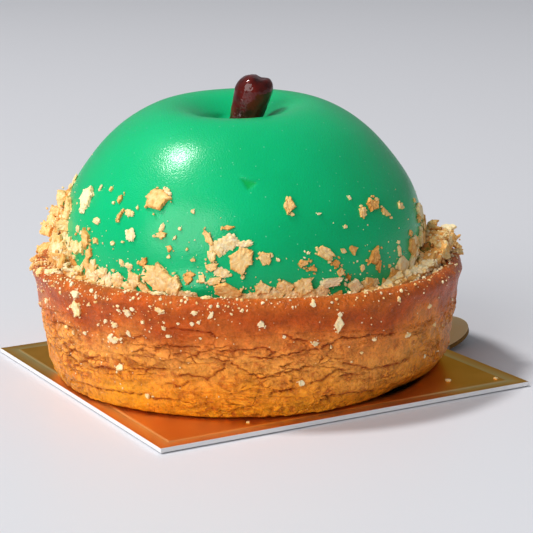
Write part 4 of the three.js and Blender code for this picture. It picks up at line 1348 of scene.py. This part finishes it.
# %% Flakes that the picture shows on the dome
SEEN_ON_DOME = [
    (87, 198, 3.9, 3.6, 0, 0.05), (84, 207, 2.2, 1.8, 0, 0.1), (87, 238, 2.5, 3.9, 14, 0.45),
    (82, 248, 1.3, 2.2, 5, 0.3), (90, 254, 2.0, 1.7, 30, 0.5), (96, 241, 1.4, 1.3, 0, 0.4),
    (82, 233, 1.0, 0.9, 0, 0.2),
    (72, 258, 2.2, 1.4, 10, 0.3), (78, 229, 1.2, 1.0, 0, 0.2), (112, 189, 0.9, 1.3, 0, 0.3),
    (101, 188, 0.6, 1.1, -25, 0.1), (121, 199, 1.1, 1.9, -20, 0.5), (114, 203, 0.7, 0.6, 0, 0.2),
    (138, 208, 0.7, 0.8, 0, 0.2), (130, 213, 1.8, 0.9, -20, 0.2), (120, 217, 0.6, 2.4, -28, 0.5),
    (97, 221, 1.7, 0.9, -10, 0.2), (158, 201, 4.4, 3.9, -12, 0.42), (167, 193, 1.9, 1.2, -50, 0.15),
    (131, 235, 1.6, 2.0, 20, 0.1), (162, 228, 0.8, 1.3, -20, 0.2), (161, 235, 2.1, 1.2, 10, 0.4),
    (180, 229, 0.8, 0.8, 0, 0.2), (175, 238, 0.5, 1.0, -30, 0.2), (170, 248, 1.4, 1.2, -30, 0.55),
    (113, 243, 1.0, 0.8, 0, 0.2), (123, 242, 0.8, 0.5, 0, 0.2), (144, 262, 2.3, 1.5, 40, 0.55),
    (122, 263, 0.7, 1.2, 30, 0.2), (129, 266, 1.4, 0.8, -10, 0.2), (193, 260, 1.0, 0.8, 0, 0.4),
    (88, 267, 1.6, 1.1, 0, 0.3), (97, 266, 1.3, 0.8, 20, 0.3), (193, 212, 0.7, 0.9, 30, 0.2),
    (228, 228, 2.0, 0.8, 5, 0.5), (208, 238, 1.2, 3.3, 28, 0.4), (228, 243, 2.9, 2.4, 30, 0.15),
    (218, 248, 2.5, 2.2, -20, 0.2), (212, 256, 1.9, 2.7, 5, 0.25), (212, 267, 2.7, 1.8, 15, 0.3),
    (222, 273, 2.1, 1.4, -10, 0.2), (240, 261, 3.6, 4.9, -30, 0.35), (245, 244, 2.2, 1.0, 10, 0.15),
    (265, 259, 2.3, 2.4, 20, 0.35), (278, 260, 0.8, 0.7, 0, 0.2), (289, 206, 1.9, 3.0, -14, 0.4),
    (319, 214, 1.0, 0.5, 0, 0.0), (325, 254, 3.4, 2.1, -25, 0.3), (336, 263, 1.8, 1.6, 0, 0.7),
    (303, 263, 2.4, 1.4, 20, 0.5), (312, 269, 1.9, 1.1, -10, 0.6), (308, 253, 0.7, 0.7, 0, 0.2),
    (190, 275, 1.8, 1.1, 0, 0.6), (202, 279, 1.3, 1.8, 10, 0.3), (215, 281, 3.0, 1.3, 15, 0.3),
    (349, 198, 0.6, 0.9, 30, 0.1), (372, 205, 3.2, 2.6, 5, 0.6), (362, 213, 1.1, 2.2, -20, 0.4),
    (376, 200, 0.9, 0.8, 0, 0.3), (385, 213, 2.5, 0.8, -35, 0.4), (400, 206, 1.8, 1.4, 0, 0.3),
    (345, 227, 0.8, 0.8, 0, 0.2), (410, 233, 1.3, 1.4, 0, 0.5), (416, 242, 1.2, 2.0, 18, 0.4),
    (398, 242, 0.8, 0.7, 0, 0.2), (399, 251, 0.7, 2.0, 28, 0.2), (374, 256, 2.4, 3.9, -30, 0.6),
    (378, 265, 0.9, 2.4, 14, 0.65), (362, 268, 0.9, 1.3, -10, 0.3), (389, 266, 0.7, 0.7, 0, 0.3),
    (420, 209, 2.0, 1.3, 40, 0.3), (418, 219, 1.5, 1.4, 0, 0.5), (414, 201, 1.0, 0.9, 0, 0.3),
]

print("flakes to set on the dome:", len(SEEN_ON_DOME))

# %% [markdown]
# A listed flake is laid flat against its carrier with a small tilt, and a few crumbs broke off at
# its edge. Large ones get the plates with layered edges, mid-sized pale ones now and then a
# cluster of burst bubbles. Some stand up from the heap's outline, so the ray through them passes
# beside it: these are rooted at the nearest point of the heap and turned to stick out from it.

# %% Lay the listed flakes
EDGE_CRUMBS = 4
SEEN_LARGER = 1.12  # the lists give sizes inside each flake's ragged edge


def beside(column, row, reach, *trees):
    """The carrier's nearest point to a ray that passes within reach mm of it, and the way out."""
    closest = None
    ray = ray_through(column, row)
    for depth in np.arange(300, 400, 1.0):
        sample = CAMERA_PLACE + ray * float(depth)
        for tree in trees:
            place, _, _, gap = tree.find_nearest(sample, reach)
            if place is not None and (closest is None or gap < closest[2]):
                closest = (place, (sample - place).normalized(), gap)
    return closest


def lay_seen(seen, flakes, thick, tilt, *trees, lumpy=True):
    """Lays each listed flake where its picture point shows it, with crumbs at its edge."""
    draw = flakes.draw
    missed = 0
    for column, row, inner_width, inner_length, turned, tone in seen:
        width, length = SEEN_LARGER * inner_width, SEEN_LARGER * inner_length
        hit = seen_at(column, row, *trees)
        larger = max(width, length)
        if hit:
            place, normal = hit[0], hit[1]
        else:
            rooted = beside(column, row, 1.2 * larger, *trees)
            if not rooted:
                missed += 1
                continue
            place = rooted[0] + rooted[1] * min(rooted[2], 0.42 * larger)
            normal = rooted[1] * 0.5 - CAMERA_AHEAD
        kind = draw.choice(large_plates if larger > 2.2 else plates)
        if lumpy and tone <= 0.2 and 1.2 < larger < 3.6:
            kind = draw.choice(clusters)
        depth = min(thick, 0.3 + 0.12 * larger)
        axes = axes_on(normal, turned, draw.uniform(-tilt, tilt), CAMERA_UP)
        flakes.lay(place, axes, (width, length, depth), draw.uniform(-0.1, 0.12), tone, kind)
        for _ in range(EDGE_CRUMBS if larger > 1.5 else 1):
            around = draw.uniform(0, 2 * math.pi)
            reach = draw.uniform(0.42, 0.6)
            off = Vector((reach * width * math.cos(around), reach * length * math.sin(around), 0))
            size = draw.uniform(0.12, 0.3) * min(larger, 3)
            bit = axes_on(normal, draw.uniform(0, 360), draw.uniform(-20, 20))
            bit_size = (size, size * draw.uniform(0.6, 1), 0.7 * size)
            flakes.lay(place + axes @ off, bit, bit_size, 0, tone - 0.1, draw.choice(chips))
    print(len(seen) - missed, "flakes laid by the picture,", missed, "missed")


# %% [markdown]
# The heap takes its listed flakes first. Then random ones cover its top, fewest in front where
# the picture shows gaps, and lean every way, as things do that were dropped and pressed.

# %% Flakes in the heap
HEAP_FLAKES = 850
STICK_SHARE = 0.3
heap_flakes = Flakes(chips, 101)
lay_seen(SEEN_AT_FOOT, heap_flakes, 0.9, 16, dome_tree, heap_tree, case_tree)
lay_seen(SEEN_IN_PILE, heap_flakes, 0.9, 22, heap_tree, dome_tree, case_tree)


def round_axis(points):
    return np.degrees(np.arctan2(points[:, 1], points[:, 0]))


def on_heap_top(points):
    from_front = np.mod(round_axis(points) - FRONT_AZIMUTH + 180, 360) - 180
    bare_front = np.exp(-((from_front / HEAP_FRONT_WIDTH) ** 4))
    return smooth(points[:, 2], 20.2, 21) * (1 - 0.92 * bare_front)


places, normals = spots_on(heap, HEAP_FLAKES, on_heap_top, 102)
draw = heap_flakes.draw
for place, normal in zip(places, normals):
    width = 1.2 + 3.6 * draw.random() ** 1.6
    outward = np.array([place[0], place[1], 0]) / math.hypot(place[0], place[1])
    leaning = normal + outward * draw.uniform(0, 1.2) + np.array([0, 0, draw.uniform(-0.3, 0.8)])
    axes = axes_on(leaning, draw.uniform(0, 360), draw.uniform(-25, 25))
    narrow = draw.uniform(0.25, 0.4) if draw.random() < STICK_SHARE else draw.uniform(0.5, 1)
    size = (width, width * narrow, draw.uniform(0.4, 0.7))
    heap_flakes.lay(place + outward * 0.3, axes, size, draw.uniform(-0.15, 0.15),
                    draw.uniform(0.0, 0.55))
finish_piece(heap_flakes.joined(), "wafer_heap_flakes", wafer)

# %% [markdown]
# On the dome the listed flakes come first too. The random ones keep to the side that the picture
# doesn't show, and thin out within a few millimetres above the low parts of the heap.

# %% Flakes stuck to the dome
dome_flakes = Flakes(chips, 111)
lay_seen(SEEN_ON_DOME, dome_flakes, 0.8, 7, dome_tree)
DOME_SCATTER = 230
CLIMB_SHARE = 0.8
FLAKES_FADE = 3.2  # mm above the heap over which flakes thin out
FLAKES_END = 11


def over_heap(points):
    """Azimuth, height over the heap, and height over it where most of its climb is left out."""
    azimuth = round_axis(points)
    over = points[:, 2] - CARD_THICK - heap_top(azimuth)
    return azimuth, over, over + CLIMB_SHARE * heap_climb(azimuth)


def above_heap(points):
    azimuth, over, low_over = over_heap(points)
    seen_side = bump(azimuth, -115, 48)
    near = (over > -1) & (low_over < FLAKES_END)
    return near * np.exp(-np.maximum(low_over, 0) / FLAKES_FADE) * (1 - 0.96 * seen_side)


places, normals = spots_on(dome, DOME_SCATTER, above_heap, 112)
draw = dome_flakes.draw
for place, normal in zip(places, normals):
    width = 0.8 + 3.4 * draw.random() ** 2.2
    axes = axes_on(normal, draw.uniform(0, 360), draw.uniform(-10, 10))
    size = (width, width * draw.uniform(0.5, 1), min(0.8, 0.25 + 0.15 * width))
    dome_flakes.lay(place, axes, size, draw.uniform(-0.08, 0.1), draw.uniform(0.05, 0.6))
finish_piece(dome_flakes.joined(), "wafer_flakes_on_dome", wafer)

# %% [markdown]
# Crumbs also fell on the lip, down the wall and onto the card, most of them on the left.

# %% Crumbs on the pastry's side
SEEN_ON_CASE = [
    (77, 309, 2.6, 2.9, 10, 0.2), (76, 294, 2.1, 1.8, 0, 0.0), (47, 301, 1.2, 1.2, 0, 0.1),
    (128, 313, 1.4, 1.8, 15, 0.1), (159, 310, 1.7, 1.1, -20, 0.2), (115, 325, 1.4, 1.2, 0, 0.1),
    (114, 339, 3.0, 1.7, -5, 0.05), (129, 333, 0.8, 1.5, 20, 0.0), (120, 368, 1.6, 1.6, 0, 0.15),
    (148, 396, 1.0, 1.1, 0, 0.1), (194, 313, 0.9, 0.9, 0, 0.0), (211, 315, 0.7, 1.4, -40, 0.0),
    (261, 324, 1.2, 1.7, 0, 0.0), (192, 324, 0.8, 0.8, 0, 0.0), (143, 322, 0.8, 0.7, 0, 0.1),
    (164, 328, 0.7, 1.0, 0, 0.1), (168, 336, 0.9, 0.6, 0, 0.1), (92, 291, 0.9, 0.9, 0, 0.0),
    (67, 327, 0.9, 0.7, 0, 0.2), (74, 332, 0.7, 0.9, 0, 0.2), (99, 324, 1.0, 0.6, 20, 0.0),
    (106, 321, 0.9, 0.8, 0, 0.0), (119, 310, 1.0, 0.6, -30, 0.0), (339, 324, 1.5, 2.9, 0, 0.1),
    (340, 314, 1.0, 1.2, 0, 0.0), (315, 343, 1.7, 0.9, 10, 0.1), (301, 383, 1.2, 1.1, 0, 0.1),
    (374, 339, 1.0, 0.8, 0, 0.1), (407, 335, 1.5, 1.0, 30, 0.1), (434, 324, 0.9, 0.9, 0, 0.1),
    (429, 306, 1.3, 0.9, 30, 0.1), (448, 381, 1.2, 1.3, 0, 0.1), (496, 379, 0.8, 0.6, 0, 0.2),
    (248, 423, 0.6, 0.5, 0, 0.2),
]
CASE_SCATTER = 260
case_crumbs = Flakes(chips, 121)
card_tree = tree_of(card)
lay_seen(SEEN_ON_CASE, case_crumbs, 0.5, 10, case_tree, card_tree, lumpy=False)


def high_on_wall(points):
    radius = np.hypot(points[:, 0], points[:, 1])
    left = 0.35 + bump(round_axis(points), -165, 35)
    return (radius > 33) * np.exp(-(CASE_HEIGHT - points[:, 2]) / 6) * (points[:, 2] > 2) * left


places, normals = spots_on(case, CASE_SCATTER, high_on_wall, 122)
draw = case_crumbs.draw
for place, normal in zip(places, normals):
    width = 0.3 + 0.9 * draw.random() ** 3
    axes = axes_on(normal, draw.uniform(0, 360), draw.uniform(-15, 15))
    size = (width, width * draw.uniform(0.5, 1), 0.4 * width)
    case_crumbs.lay(place, axes, size, 0, draw.uniform(-0.2, 0.2))
finish_piece(case_crumbs.joined(), "wafer_crumbs_on_pastry", wafer)

# %% [markdown]
# Last comes the dust that crushing makes: grains of a fifth to half a millimetre, thick near the
# heap and thin elsewhere. It is what makes the flakes look broken rather than cut.

# %% Dust
DUST_ON_DOME = 900
DUST_ON_CASE = 900
DUST_IN_HEAP = 1800
DUST_FADE = 2.5  # mm above the heap over which dust thins out
FAR_DUST = 0.08
FAR_DUST_FADE = 8
FAR_DUST_END = 15
dust = Flakes(grains, 131)


def low_on_dome(points):
    _, over, low_over = over_heap(points)
    low_over = np.maximum(low_over, 0)
    far = FAR_DUST * np.exp(-low_over / FAR_DUST_FADE) * (low_over < FAR_DUST_END)
    return (over > -1) * (np.exp(-low_over / DUST_FADE) + far)


def on_lip_and_heap(points):
    radius = np.hypot(points[:, 0], points[:, 1])
    return (radius > 33.5) * smooth(points[:, 2], 20, 21.6)


for carrier, count, density, seed, low, high in (
    (dome, DUST_ON_DOME, low_on_dome, 132, 0.14, 0.5),
    (case, DUST_ON_CASE, high_on_wall, 133, 0.12, 0.4),
    (case, DUST_IN_HEAP // 3, on_lip_and_heap, 134, 0.2, 0.8),
    (heap, DUST_IN_HEAP, on_lip_and_heap, 135, 0.4, 1.3),
):
    places, normals = spots_on(carrier, count, density, seed)
    for place, normal in zip(places, normals):
        width = low + (high - low) * dust.draw.random() ** 2
        axes = axes_on(normal, dust.draw.uniform(0, 360), dust.draw.uniform(-30, 30))
        dust.lay(place, axes, (width, 0.8 * width, 0.7 * width), 0, dust.draw.uniform(-0.1, 0.35))
finish_piece(dust.joined(), "wafer_dust", wafer)
